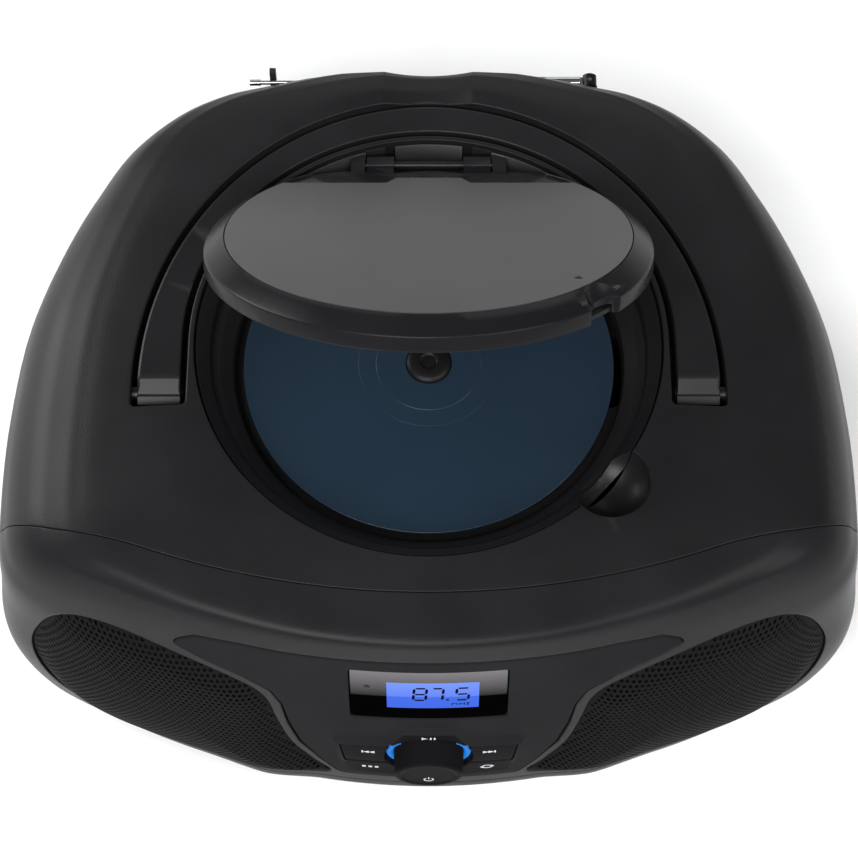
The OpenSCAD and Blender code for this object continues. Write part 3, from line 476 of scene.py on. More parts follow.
def material(name, color, rough, metallic=0.0, grain=0.0, grain_scale=900.0, mottle=0.12, rough_spread=0.06,
             specular=0.5, coat=0.0, wear=0.0, emission=None, strength=0.0, brushed=None, ior=1.5):
    """A procedural finish: colour mottling, uneven roughness, fine grain and lighter worn edges."""
    m = bpy.data.materials.new(name)
    m.use_nodes = True
    nt = m.node_tree
    shader = only(nt, "BSDF_PRINCIPLED")
    link = nt.links.new
    place = added(nt, "TexCoord").outputs["Object"]
    if brushed:
        stretch = added(nt, "Mapping", Scale=brushed)
        link(place, stretch.inputs["Vector"])
        place = stretch.outputs["Vector"]
    soft = added(nt, "TexNoise", Scale=35.0, Detail=4)
    link(place, soft.inputs["Vector"])
    ramp = added(nt, "ValToRGB")
    for e, position, k in zip(ramp.color_ramp.elements, (0.3, 0.7), (1 - mottle, 1 + mottle)):
        e.position, e.color = position, tuple(min(1, c * k) for c in color) + (1,)
    link(soft.outputs["Fac"], ramp.inputs["Fac"])
    out = ramp.outputs["Color"]
    if wear:
        edge = added(nt, "MapRange", From_Min=0.52, From_Max=0.62)
        link(added(nt, "NewGeometry").outputs["Pointiness"], edge.inputs["Value"])
        mix = nt.nodes.new("ShaderNodeMix")
        mix.data_type = "RGBA"
        mix.inputs["B"].default_value = tuple(min(1, c * (1 + wear) + 0.004) for c in color) + (1,)
        link(edge.outputs["Result"], mix.inputs["Factor"])
        link(out, mix.inputs["A"])
        out = mix.outputs["Result"]
    link(out, shader.inputs["Base Color"])
    spread = added(nt, "MapRange", To_Min=max(0.02, rough - rough_spread), To_Max=min(1, rough + rough_spread))
    link(soft.outputs["Fac"], spread.inputs["Value"])
    link(spread.outputs["Result"], shader.inputs["Roughness"])
    for socket, value in (("Metallic", metallic), ("Specular IOR Level", specular), ("IOR", ior),
                          ("Coat Weight", coat), ("Coat Roughness", 0.06)):
        shader.inputs[socket].default_value = value
    if grain:
        fine = added(nt, "TexNoise", Scale=grain_scale, Detail=2)
        link(place, fine.inputs["Vector"])
        bump = added(nt, "Bump", Strength=grain, Distance=0.00012)
        link(fine.outputs["Fac"], bump.inputs["Height"])
        link(bump.outputs["Normal"], shader.inputs["Normal"])
    if emission:
        shader.inputs["Emission Color"].default_value = (*emission, 1)
        shader.inputs["Emission Strength"].default_value = strength
    return m


def banded(name, stops, rough, ior, glow=0.0):
    """A finish whose colour follows the height: a painted reflection band, as a lit glossy window shows it, emitted
    as a glow when glow is given. stops: (height in mm, colour).
    """
    m = material(name, (0.004, 0.006, 0.02), rough, mottle=0, rough_spread=0.02, ior=ior)
    nt = m.node_tree
    shader = only(nt, "BSDF_PRINCIPLED")
    low, high = stops[0][0], stops[-1][0]
    split, ramp = added(nt, "SeparateXYZ"), added(nt, "ValToRGB")
    level = added(nt, "MapRange", From_Min=low * MM, From_Max=high * MM)
    nt.links.new(only(nt, "TEX_COORD").outputs["Object"], split.inputs["Vector"])
    nt.links.new(split.outputs["Z"], level.inputs["Value"])
    nt.links.new(level.outputs["Result"], ramp.inputs["Fac"])
    while len(ramp.color_ramp.elements) < len(stops):
        ramp.color_ramp.elements.new(0.5)
    for e, (height, color) in zip(ramp.color_ramp.elements, stops):
        e.position, e.color = (height - low) / (high - low), (*color, 1)
    nt.links.new(ramp.outputs["Color"], shader.inputs["Emission Color" if glow else "Base Color"])
    if glow:
        shader.inputs["Emission Strength"].default_value = glow
    return m


CASE = material("case", (0.0090, 0.0084, 0.0094), 0.42, grain=0.35, grain_scale=1500, wear=0.6, ior=1.25)
FRONT = material("front_plastic", (0.0125, 0.0118, 0.0130), 0.36, grain=0.3, grain_scale=1700, wear=0.6, ior=1.19)
PANEL = material("panel_plastic", (0.0150, 0.0142, 0.0155), 0.4, grain=0.3, grain_scale=1700, wear=0.5, ior=1.045)
SHEEN = material("lid_shine", (0.0090, 0.0086, 0.0096), 0.27, grain=0.15, grain_scale=2200, wear=0.6, ior=1.17)
HANDLE = material("handle_plastic", (0.0105, 0.0099, 0.0109), 0.36, grain=0.25, grain_scale=1800, wear=0.9,
                  ior=1.25)
WELL = material("well_plastic", (0.0100, 0.0095, 0.0104), 0.38, grain=0.2, grain_scale=1800, ior=1.3)
GRILLE = material("grille_paint", (0.0090, 0.0085, 0.0093), 0.45, grain=0.3, grain_scale=2500, ior=1.06)
INNER = material("inner", (0.0050, 0.0049, 0.0054), 0.42, grain=0.2, grain_scale=1800, ior=1.25)
KEY = material("key", (0.0085, 0.0080, 0.0089), 0.36, grain=0.15, grain_scale=2200, wear=0.8, ior=1.04)
PLATE = material("plate", (0.0390, 0.0370, 0.0392), 0.38, grain=0.2, grain_scale=2600, specular=0.35, metallic=0.25,
                 mottle=0.05)
# Painted reflection: the window is near black below 79.3 mm and a grey band lightening towards the top above it,
# standing in for what the glass mirrors; its IOR is nearly 1, so it mirrors almost nothing itself.
LENS_PAINTED_REFLECTION = banded("window_painted_reflection", [(63, (0.0009, 0.0008, 0.0009)), (79.2, (0.0009, 0.0008, 0.0009)),
                               (79.4, (0.022, 0.0205, 0.022)), (95, (0.156, 0.149, 0.156))], 0.12, 1.006)
MARK = material("marks", (0.62, 0.63, 0.65), 0.55, mottle=0.05)
DISC = material("disc_lacquer", (0.0115, 0.0225, 0.0365), 0.3, specular=0.3, mottle=0.04, rough_spread=0.03)
RUBBER = material("rubber", (0.012, 0.012, 0.012), 0.8, grain=0.5, specular=0.3)
CHROME = material("chrome", (0.62, 0.63, 0.65), 0.12, metallic=1, mottle=0.04, rough_spread=0.05)
STEEL = material("zinc_steel", (0.42, 0.43, 0.45), 0.36, metallic=1, grain=0.2, brushed=(1, 1, 12), mottle=0.1)
FERRITE = material("ferrite", (0.03, 0.03, 0.032), 0.7, grain=0.6)
CONE = material("cone_paper", (0.014, 0.014, 0.014), 0.85, grain=0.8, grain_scale=1200)
BOARD = material("solder_mask", (0.010, 0.075, 0.028), 0.32, mottle=0.2, specular=0.5)
GEAR = material("acetal", (0.6, 0.58, 0.52), 0.45, mottle=0.04)
GLASS = material("lens_glass", (0.35, 0.45, 0.75), 0.04, coat=1.0)
GLOW = material("lit_ring", (0.01, 0.06, 0.2), 0.4, emission=(0.010, 0.17, 0.56), strength=0.9, ior=1.1)
# The LCD glows blue from its backlight; the lighter band above 79.3 mm is a painted reflection, the same band the
# window's colour paints.
DISPLAY_GLOW_AND_PAINTED_REFLECTION = banded("display_glow_and_painted_reflection", [(71, (0.056, 0.145, 0.79)), (79.25, (0.063, 0.162, 0.83)),
                                 (79.35, (0.135, 0.245, 0.92)), (89, (0.215, 0.35, 0.97))], 0.3, 1.006, 1.0)
# Near-black steel: painted shade for the lid's hinge pin and the handle's pivots.
SHADE_DARKENED_STEEL = material("steel_darkened_for_painted_shade", (0.012, 0.012, 0.013), 0.4, metallic=0.4, mottle=0.1)
DIGIT = material("digits", (0.002, 0.002, 0.004), 0.4, ior=1.05)

SLOT_LOOKS = {
    "case_plastic": CASE, "grille_metal": GRILLE, "lid_plate": PLATE, "inner_plastic": INNER, "key_plastic": KEY,
    "window": LENS_PAINTED_REFLECTION, "display": DISPLAY_GLOW_AND_PAINTED_REFLECTION, "light_guide": GLOW, "disc": DISC, "rubber": RUBBER, "bright_steel": CHROME,
    "plated_steel": STEEL, "cone_paper": CONE, "ferrite": FERRITE, "circuit_board": BOARD, "lens_glass": GLASS,
    "gear_plastic": GEAR,
}
body_of = {n: o["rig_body"] for n, o in nodes.items()}
slot_of = {s["node"]: s["material_slot"] for s in frame["record"]["subparts"]}
# Painted shade: the hinge pin and the handle's pivots sit between parts and are coloured near black instead of
# their steel, so they read as dark as the shade there.
PAINTED_SHADE_NODES = ("lid_hinge_pin", "handle_pivots")
for node_name, o in nodes.items():
    o.data.materials.clear()
    o.data.materials.append(SHADE_DARKENED_STEEL if node_name in PAINTED_SHADE_NODES else SLOT_LOOKS[slot_of[node_name]])
    o.data.polygons.foreach_set("use_smooth", np.ones(len(o.data.polygons), bool))
    o.data.set_sharp_from_angle(angle=math.radians(32))


def box_mesh(lo, hi):
    """A cutter's box, as verts and faces."""
    v = [(x, y, z) for z in (lo[2], hi[2]) for y in (lo[1], hi[1]) for x in (lo[0], hi[0])]
    return np.array(v, float), [(0, 2, 3, 1), (4, 5, 7, 6), (0, 1, 5, 4), (2, 6, 7, 3), (0, 4, 6, 2), (1, 3, 7, 5)]


def lofted(rows):
    """A closed solid through rings of equal length, capped at both ends."""
    n = len(rows[0])
    faces = [tuple(range(n))[::-1], tuple(range((len(rows) - 1) * n, len(rows) * n))]
    faces += [(j * n + i, j * n + (i + 1) % n, (j + 1) * n + (i + 1) % n, (j + 1) * n + i)
              for j in range(len(rows) - 1) for i in range(n)]
    return np.vstack(rows), faces


def prism(loop, low, high, axis="z"):
    """A closed prism over a plan loop (axis z) or a front-view loop (axis y), between two levels."""
    verts, faces = lofted([at_height(ccw(loop), low), at_height(ccw(loop), high)])
    return (verts, faces) if axis == "z" else (verts[:, [0, 2, 1]], [f[::-1] for f in faces])


def revolved(profile, steps=96, centre=(0, 0, 0), axis="z"):
    """A ring or disc of revolution from (radius, height) points. axis y turns it about a line to the front."""
    p = np.array(profile, float)
    verts = []
    for t in np.radians(np.linspace(0, 360, steps, endpoint=False)):
        x, y = p[:, 0] * math.cos(t), p[:, 0] * math.sin(t)
        verts.append(np.stack([x, y, p[:, 1]] if axis == "z" else [x, -p[:, 1], y], -1))
    n = len(p)
    faces = []
    for j in range(steps):
        for i in range(n):
            a, b = j * n + i, j * n + (i + 1) % n
            c, d = ((j + 1) % steps) * n + (i + 1) % n, ((j + 1) % steps) * n + i
            faces.append((a, d, c, b))
    return np.vstack(verts) + np.array(centre, float), faces


def clean(me, dist=1e-3, flat=None):
    """Merges points closer than dist millimetres and, given an angle, flat neighbours."""
    bm = bmesh.new()
    bm.from_mesh(me)
    bmesh.ops.remove_doubles(bm, verts=bm.verts, dist=dist * MM)
    bmesh.ops.dissolve_degenerate(bm, edges=bm.edges, dist=dist * MM)
    if flat:
        bmesh.ops.dissolve_limit(bm, angle_limit=math.radians(flat), verts=bm.verts, edges=bm.edges)
    loose = [v for v in bm.verts if not v.link_faces]
    bmesh.ops.delete(bm, geom=loose, context="VERTS")
    bmesh.ops.recalc_face_normals(bm, faces=bm.faces)
    bm.to_mesh(me)
    bm.free()
    return me


def solid(part, name="solid"):
    """Verts and faces in millimetres as a clean mesh in metres."""
    return clean(drawn(name, *part))


def boolean(me, cutters, operation="DIFFERENCE"):
    """A new mesh: me with each cutter taken off it, joined to it, or kept in common with it."""
    base = linked("work", me)
    extra = []
    for c in cutters:
        o = linked("cutter", c if isinstance(c, bpy.types.Mesh) else solid(c))
        m = base.modifiers.new("cut", "BOOLEAN")
        m.operation, m.object, m.solver = operation, o, "EXACT"
        extra.append(o)
    bpy.context.view_layer.update()
    result = bpy.data.meshes.new_from_object(base.evaluated_get(bpy.context.evaluated_depsgraph_get()))
    for o in [base] + extra:
        bpy.data.objects.remove(o)
    return result


def refined(source, bevel):
    """A CAD node's own shape with rounded edges, standing for that node."""
    me, slot = clean(nodes[source].data.copy(), 2e-3, 1.0), slot_of[source]
    return finish_piece(source + "_shape", me, SLOT_LOOKS[slot], slot, source, body_of[source], bevel=bevel)


# ---------------------------------------------------------------- outlines shared by several pieces
SEAM_Y, SEAM_R, SEAM_DROP = 179.0, 264.7, 5.5
SHOULDER_X, SHOULDER_WIDE = 88, 48
SEAM_CROWN = 72  # half width of the seam's part on the top, which is a plain arc
SHELL_LOW = 12.6
WELL_R = 74.7
DIMPLE, DIMPLE_R = np.array([56.2, -49.7, 117.0]), 12.6
HANDLE_A, HANDLE_B, OVAL_Y, HANDLE_R = 92.2, 103.7, -15.0, 78.5
GROOVE_GAP, GROOVE_FLOOR, GROOVE_END = 1.8, 101.0, -23.4
WALL_T = 2.2
KNOB_Z = 38.2


def seam_radius(x):
    """The seam is a circle arc on the top, and drops a little further forward over the shoulders."""
    return SEAM_R + SEAM_DROP * smoothstep((np.abs(x) - SHOULDER_X) / SHOULDER_WIDE)


def seam_line(gap):
    """The right half of the seam, from the middle of the top down to the shell's lower edge."""
    x = np.linspace(0, 70, 60)
    crown = from_plan(np.stack([x, SEAM_Y - np.sqrt((SEAM_R + gap) ** 2 - x * x)], -1))
    vs = v_at(SHELL_LOW) - (v_at(SHELL_LOW) - _v[1]) * np.linspace(0, 1, 900) ** 0.6
    out = []
    for v in vs[::-1]:
        lo, hi = -math.pi / 2, 0.0
        if SEAM_Y - front_v(v) < SEAM_R + gap + 0.5:
            continue
        for _ in range(40):
            mid = (lo + hi) / 2
            p = body(chart(np.array([mid]), v))[0]
            if math.hypot(p[0], p[1] - SEAM_Y) > seam_radius(p[0]) + gap:
                lo = mid
            else:
                hi = mid
        if p[0] > SEAM_CROWN:
            out.append(chart(np.array([lo]), v)[0])
    return np.vstack([crown, out])


def region(gap, back):
    """Chart loop of the part of the body behind the seam, or in front of it."""
    right = seam_line(gap)
    end = math.atan2(right[-1][1], right[-1][0])
    angles = np.linspace(end, (math.pi if back else -math.pi) - end, 500)
    low = chart(angles, float(v_at(SHELL_LOW)))[1:-1]
    left = right[::-1] * (-1, 1)
    return respaced(np.vstack([right, low, left]), body, 2.0)


def hole_rim(plan, step=1.5, chartof=from_plan):
    return respaced(chartof(np.asarray(plan, float)), body, step)


def well_plan():
    """The disc well's hole, joined with the finger dimple beside it."""
    d, heading = math.hypot(*DIMPLE[:2]), math.degrees(math.atan2(DIMPLE[1], DIMPLE[0]))
    r = math.sqrt(DIMPLE_R**2 - 4)
    a = math.degrees(math.acos((WELL_R**2 + d * d - r * r) / (2 * WELL_R * d)))
    b = math.degrees(math.acos((r * r + d * d - WELL_R**2) / (2 * r * d)))
    big = arc(WELL_R, heading + a, heading + 360 - a, 300)
    small = arc(r, heading - 180 + b, heading + 180 - b, 60, DIMPLE[:2])
    return np.vstack([big, small[1:-1]])


def groove_loop(gap, inner_gap, end):
    """The handle's outline from above, wider by gap outside and by inner_gap inside, with its ends at y = end."""
    a, b, c = HANDLE_A + gap, HANDLE_B + gap, HANDLE_R - inner_gap
    t = np.radians(np.linspace(0, 180, 160))
    outer = np.stack([a * np.cos(t), OVAL_Y + b * np.sin(t)], -1)
    inner = arc(c, 180, 0, 140)
    return rounded(np.vstack([[(a, end)], outer, [(-a, end), (-c, end)], inner, [(c, end)]]), 1.6, 1.5)


SCOOP_HALF, SCOOP_DEEP = 14.9, 2.9


def scoop(x):
    return np.maximum(SCOOP_DEEP * (1 - (x / SCOOP_HALF) ** 2), 0)


def upper_surface(q):
    """The body with the finger scoop behind the handle: a shallow trough with creased sides."""
    p = body(q)
    p[:, 2] -= scoop(p[:, 0]) * (p[:, 1] > 80) * np.clip((p[:, 2] - 98.5) / 6, 0, 1)
    return p


# ---------------------------------------------------------------- upper case
def near_bends(q):
    """The finger scoop, and the shoulder where the top rolls over into the sides."""
    p = body(q)
    trough = (np.abs(p[:, 0]) < 20) & (p[:, 1] > 88) & (p[:, 2] > 104)
    return trough | ((p[:, 2] > 103.5) & (p[:, 2] < 113.4))


groove = groove_loop(GROOVE_GAP, 2.0, GROOVE_END)
upper = sheet(upper_surface, lip(region(0.15, True), 0.4, WALL_T, None),
              [lip(hole_rim(well_plan(), 1.6), 0.45, 2.4, DOWN), lip(hole_rim(groove), 0.7, 3.0, DOWN)],
              WALL_T, 3.2, (near_bends, 1.2))


def channel():
    """The handle's channel: a closed trough with a floor, just outside the rim's walls."""
    q, wall, top = inset(groove, -0.03), inset(groove, -1.7), 112.6
    rows = [at_height(loop, z) for loop, z in ((wall, top - 0.6), (q, top), (q, GROOVE_FLOOR + 0.6),
                                               (inset(q, 0.6), GROOVE_FLOOR), (wall, GROOVE_FLOOR - 1.8))]
    n = len(q)
    around = [(i, (i + 1) % n) for i in range(n)]
    faces = [(j * n + i, j * n + n + i, j * n + n + k, j * n + k) for j in range(3) for i, k in around]
    faces += [(i, k, 4 * n + k, 4 * n + i) for i, k in around]
    for j, way in ((3, 1), (4, -1)):
        flat = rows[j][:, :2]
        _, tri = triangulate([flat], np.zeros((0, 2)), lambda p: inside(p, flat))
        faces += [tuple(t[::way] + j * n) for t in tri]
    return np.vstack(rows), faces


def ribbon(low, high, push):
    """A closed slab between two rows of points, pushed along a vector to give it its thickness."""
    low, high = np.array(low, float), np.array(high, float)
    n, rows = len(low), [low, high, high + push, low + push]
    faces = [(j * n + i, j * n + i + 1, ((j + 1) % 4) * n + i + 1, ((j + 1) % 4) * n + i)
             for j in range(4) for i in range(n - 1)]
    faces += [(0, n, 2 * n, 3 * n), (n - 1, 4 * n - 1, 3 * n - 1, 2 * n - 1)]
    return np.vstack(rows), faces


REBATE_Y, REBATE_Z = 104.5, 98.3  # the antenna's step in the back edge
shell = boolean(solid(upper, "upper"), [
    box_mesh((-63, REBATE_Y, REBATE_Z), (61, 120, 125)),
    box_mesh((-62.1, 95, 25.9), (-37.9, 125, 42.1)), box_mesh((35.9, 95, 26.9), (68.1, 125, 41.1))])
xs = np.linspace(-60.5, 58.5, 60)
back_tops = top_z(at_height(xs[:, None], REBATE_Y)) - 0.6 - scoop(xs)
shelf_back = body(chart(np.radians(np.linspace(20, 160, 700)), float(v_at(REBATE_Z))))[::-1]
shelf_y = np.interp(xs, shelf_back[:, 0], shelf_back[:, 1]) - 0.4


def across(y, z):
    """A row of points from side to side."""
    return np.stack(np.broadcast_arrays(xs, y, z), -1)


rings = np.radians(np.linspace(10.5, 89.7, 30))
bowl_profile = [(0.01, -14.2), (6, -12.9), (11, -9), (13.6, -2.6), (12.4, -2.28)]
bowl_profile += [(DIMPLE_R * math.cos(t), -DIMPLE_R * math.sin(t)) for t in rings] + [(0.01, -DIMPLE_R)]
bowl = boolean(solid(revolved(bowl_profile, 96, DIMPLE)), [prism(arc(WELL_R + 0.02, 0, 357, 120), 90, 130)])
back_wall = ribbon(across(REBATE_Y - 0.02, REBATE_Z - 1.5),
                   across(REBATE_Y - 0.02, np.maximum(back_tops, REBATE_Z)), (0, -1.8, 0))
shelf = ribbon(across(REBATE_Y - 1.5, REBATE_Z - 0.02),
               across(np.maximum(shelf_y, REBATE_Y - 1), REBATE_Z - 0.02), (0, 0, -1.4))
antenna_rest = [box_mesh((-54.6, 101, 92), (-52.5, 111.2, 96)),
                box_mesh((-54.6, 109.2, 95.99), (-52.5, 111.2, 103.6))]
bm = bmesh.new()
for me in [shell] + [solid(p) for p in (channel(), back_wall, shelf)] + [bowl] + [solid(p) for p in antenna_rest]:
    bm.from_mesh(me)
bm.to_mesh(shell)
bm.free()
finish_piece("upper_shell", shell, CASE, "case_plastic", "upper_case")

# ---------------------------------------------------------------- front case, with the speaker openings
GRILLE_EDGE = [(127.5, 56), (122.5, 74), (114, 84.5), (104, 88.2), (92, 88.4), (77.5, 84.8), (61, 78), (52.5, 71),
               (48.6, 57), (44.5, 41), (38, 26.5), (33, 17.5), (50, 15.2), (80, 15.2), (106, 16), (119, 24),
               (125.5, 39)]
PANEL_HALF = [(0, 100.2), (58, 100), (72, 98.6), (77.5, 94.5), (79.6, 91.2), (71, 86.6), (58.5, 81.2), (50, 75),
              (46.8, 67), (45.2, 55), (42, 41), (36, 28), (29.8, 18), (0, 17.4)]
grille_edge = smooth_closed(GRILLE_EDGE, 10)
panel_edge = rounded(np.array(PANEL_HALF + [(-x, z) for x, z in PANEL_HALF[-2:0:-1]]), 3.5, 1.3, 8)
front = sheet(body, lip(region(0.3, False), 0.4, WALL_T, None),
              [lip(hole_rim(panel_edge, 1.3, from_front), 0.6, 3.2)]
              + [lip(hole_rim(grille_edge * (s, 1), 1.3, from_front), 1.1, 4.5) for s in (1, -1)],
              WALL_T, 3.0, (lambda q: (body(q)[:, 2] > 106) & (body(q)[:, 2] < 112), 0.9))
make("front_shell", *front, FRONT, "case_plastic", "front_case")


# ---------------------------------------------------------------- speaker grilles
HOLE_PITCH, HOLE_R, SHEET_T = 2.0, 0.6, 0.7
RISE_WIDE, CROWN_WIDE = 8.5, 26.0  # the steep band at the sheet's edge, and the gentle one inside it
row_x = np.linspace(25, 136, 400)
row_y = front_point(at_height(row_x[:, None], 50.0))[:, 1]
row_u = np.concatenate([[0], np.cumsum(np.hypot(np.diff(row_x), np.diff(row_y)))])


def wrapped(flat):
    """Front-view places of points on the flat sheet."""
    return np.stack([np.interp(flat[:, 0], row_u, row_x), flat[:, 1]], -1)


def grille(name, side, node_name):
    """A perforated sheet: a staggered lattice of round holes, wrapped onto the bulged form."""
    cells = np.array([((i + (j % 2) / 2) * HOLE_PITCH, j * HOLE_PITCH * 0.8660254)
                      for j in range(int(13 / HOLE_PITCH), int(96 / HOLE_PITCH * 1.155))
                      for i in range(int(row_u[-1] / HOLE_PITCH) + 1)])
    depth = -distance_to(grille_edge, wrapped(cells))
    cells, depth = cells[depth > -1.3], depth[depth > -1.3]
    corner, turn = np.radians(np.arange(6) * 60 + 30), np.radians(np.arange(12) * 30 + 30)
    hexes = np.stack([np.cos(corner), np.sin(corner)], -1) * HOLE_PITCH / math.sqrt(3)
    ring = np.stack([np.cos(turn), np.sin(turn)], -1) * HOLE_R
    flat, faces, known = [], [], {}

    def vert(p):
        key = (round(p[0], 3), round(p[1], 3))
        if key not in known:
            known[key] = len(flat)
            flat.append(p)
        return known[key]
    for c, d in zip(cells, depth):
        outer = [vert(c + h) for h in hexes]
        if d < 1.0:
            faces.append(tuple(outer))
            continue
        hole = len(flat)
        flat += [c + h for h in ring]
        faces += [(outer[k], outer[(k + 1) % 6], hole + (2 * k + 2) % 12, hole + 2 * k + 1, hole + 2 * k)
                  for k in range(6)]
    xz = wrapped(np.array(flat))
    d = np.maximum(-distance_to(grille_edge, xz), 0)
    rise, crown = np.clip(d / RISE_WIDE, 0, 1), np.clip((d - RISE_WIDE) / CROWN_WIDE, 0, 1)
    verts = front_point(xz)
    verts[:, 1] -= -1.5 + 4.6 * rise * (1.5 - 0.5 * rise) + 2.3 * (1 - (1 - crown) ** 2)
    verts[:, 0] *= side
    obj = make(name, verts, [f[::side] for f in faces], GRILLE, "grille_metal", node_name, weighted=False)
    sheet_metal = obj.modifiers.new("sheet", "SOLIDIFY")
    sheet_metal.thickness, sheet_metal.offset = SHEET_T * MM, -1


grille("grille_right", 1, "speaker_grille_right")
grille("grille_left", -1, "speaker_grille_left")


# ---------------------------------------------------------------- control panel
def key_arc(a0, a1):
    return [tuple(p) for p in arc(14.5, a0, a1, 13, (0, KNOB_Z))]


PLAY = np.array([(-12.4, 47.4), (-7.9, 56), (7.9, 56), (12.4, 47.4)] + key_arc(38, 142))
NEXT = np.array([(28.8, 45.6), (27.4, 33.2)] + key_arc(-20, 28) + [(13.8, 46.6)])
REPEAT = np.array([(27.2, 32.2), (25.4, 21.8), (8, 20.6)] + key_arc(-55, -25))
SEAMS = [np.array([(12, 33.6), (27.5, 33.6), (27.2, 31.8), (12, 31.8)]),
         np.array([(12.2, 47.6), (14.2, 46.9), (12.4, 43.5), (10.6, 45.0)])]
CLUSTER = [arc(14.1, 0, 355, 72, (0, KNOB_Z)), PLAY] + [q * (s, 1) for q in (NEXT, REPEAT, *SEAMS)
                                                        for s in (1, -1)]


def cluster_distance(pts):
    return np.minimum.reduce([distance_to(q, pts) for q in CLUSTER])


def contour(field, low, high, cell):
    """The longest closed line where field is zero, on a square grid between two corners."""
    xs, zs = np.arange(low[0], high[0], cell), np.arange(low[1], high[1], cell)
    gx, gz = np.meshgrid(xs, zs)
    f = field(np.stack([gx.ravel(), gz.ravel()], -1)).reshape(gx.shape)
    ahead = {}

    def place(a, b):
        a, b = sorted((a, b))
        t = f[a] / (f[a] - f[b])
        return (round(xs[a[1]] + (xs[b[1]] - xs[a[1]]) * t, 5), round(zs[a[0]] + (zs[b[0]] - zs[a[0]]) * t, 5))
    for j, i in np.ndindex(len(zs) - 1, len(xs) - 1):
        corners = [(j, i), (j, i + 1), (j + 1, i + 1), (j + 1, i)]
        crossed = [(a, b) for a, b in zip(corners, corners[1:] + corners[:1]) if (f[a] < 0) != (f[b] < 0)]
        if len(crossed) == 2:
            entry, leave = sorted(crossed, key=lambda side: f[side[0]] < 0)
            ahead[place(*entry)] = place(*leave)
    best = []
    while ahead:
        p, line = next(iter(ahead)), []
        while p in ahead:
            line.append(p)
            p = ahead.pop(p)
        best = line if len(line) > len(best) else best
    return np.array(best)


RIDGE, RIDGE_WIDE = 1.7, 2.4


def near_keys(q):
    """True inside a box that holds the keys, where the distance to them is worth working out."""
    return (np.abs(q[:, 0]) < 34) & (q[:, 1] < 62)


def panel_surface(q):
    """The panel's face, with the ridge that stands around the keys."""
    p = front_point(q)
    near = near_keys(q)
    lift = np.zeros(len(q))
    if near.any():
        d = cluster_distance(q[near])
        lift[near] = RIDGE * (1 - smoothstep((d - 0.3) / RIDGE_WIDE)) * smoothstep((q[near][:, 1] - 27) / 8)
    p[:, 1] -= lift
    return p


cluster_hole = contour(lambda p: cluster_distance(p) - 0.3, (-31, 18), (31, 60), 0.35)
cluster_hole = respaced(cluster_hole, lambda q: at_height(q, 0), 0.7)


def window_edge(half, low, high, radius, step):
    return rounded([(-half, low), (half, low), (half, high), (-half, high)], radius, step)


panel_rim = inset(panel_edge, 0.3)
panel_rim[:, 1] -= 0.9 * smoothstep((panel_rim[:, 1] - 88) / 8)
panel = sheet(panel_surface, lip(panel_rim, 0.5, 2.0),
              [lip(window_edge(24.9, 64.3, 94.2, 1.3, 1.2), 0.3, 1.6), lip(cluster_hole, 0.35, 2.6)], 1.6, 2.4,
              (lambda q: near_keys(q) & (cluster_distance(q) < 3.4), 0.7))
make("panel", *panel, PANEL, "case_plastic", "control_panel")


def cap(q):
    """The keys' faces, a little prouder of the panel higher up."""
    p = front_point(q)
    p[:, 1] -= 0.7 + 0.8 * smoothstep((q[:, 1] - 22) / 20)
    return p


for word, outline, side, stem in (("play", PLAY, 1, (0, 54)), ("next", NEXT, 1, (21.5, 40)),
                                  ("previous", NEXT, -1, (-21.5, 40)), ("repeat", REPEAT, 1, (20, 27)),
                                  ("function", REPEAT, -1, (-20, 27))):
    face = sheet(cap, lip(rounded(outline * (side, 1), 0.9, 0.8), 0.55, 2.6), [], 1.6, 1.6)
    post = prism(arc(1.5, 0, 345, 24, stem), -111.5, -106.9, "y")
    make(word + "_key_cap", *merged(face, post), KEY, "key_plastic", word + "_button", word + "_key")


def marks(name, polygons, surface, ride, look=MARK, proud=0.05, slot="key_plastic"):
    """Thin printed shapes that lie on a surface."""
    parts = []
    for poly in polygons:
        q = ccw(resample(poly, 0.6))
        parts.append(lofted([surface(q) + (0, 0.05, 0), surface(q) - (0, proud, 0)]))
    make(name, *merged(*parts), look, slot, ride=ride, weighted=False)


def triangle(x, z, w, h):
    return [(x, z - h / 2), (x + w, z), (x, z + h / 2)]


def bar(x, z, w, h):
    return [(x - w / 2, z - h / 2), (x + w / 2, z - h / 2), (x + w / 2, z + h / 2), (x - w / 2, z + h / 2)]


def stroke(points, w):
    """A thin line along points as a closed outline."""
    p = np.array(points, float)
    t = np.gradient(p, axis=0)
    n = np.stack([-t[:, 1], t[:, 0]], -1) / np.linalg.norm(t, axis=1)[:, None] * w / 2
    return np.vstack([p + n, (p - n)[::-1]])


PLAY_Z, SIDE_Z, LOW_Z = 53.6, 41.6, 27.6
marks("play_mark", [triangle(-2.3, PLAY_Z, 2.1, 1.6), bar(0.65, PLAY_Z, 0.55, 1.6), bar(1.9, PLAY_Z, 0.55, 1.6)],
      cap, "play_key")
for word, side in (("next", 1), ("previous", -1)):
    marks(word + "_mark", [np.array(p) * (side, 1) for p in (triangle(17.6, SIDE_Z, 1.9, 1.7),
          triangle(19.4, SIDE_Z, 1.9, 1.7), bar(21.6, SIDE_Z, 0.5, 1.7))], cap, word + "_key")
marks("repeat_mark", [stroke(arc(1.7, a, a + 135, 12, (19.3, LOW_Z), 0.75), 0.45) for a in (25, 205)]
      + [[(20.2, LOW_Z - 0.1), (21.7, LOW_Z - 0.1), (21.0, LOW_Z + 1.1)],
         [(18.4, LOW_Z + 0.1), (16.9, LOW_Z + 0.1), (17.6, LOW_Z - 1.1)]], cap, "repeat_key")
marks("function_mark", [bar(x, LOW_Z, 1.2, 1.4) for x in (-21.4, -19.3, -17.2)], cap, "function_key")

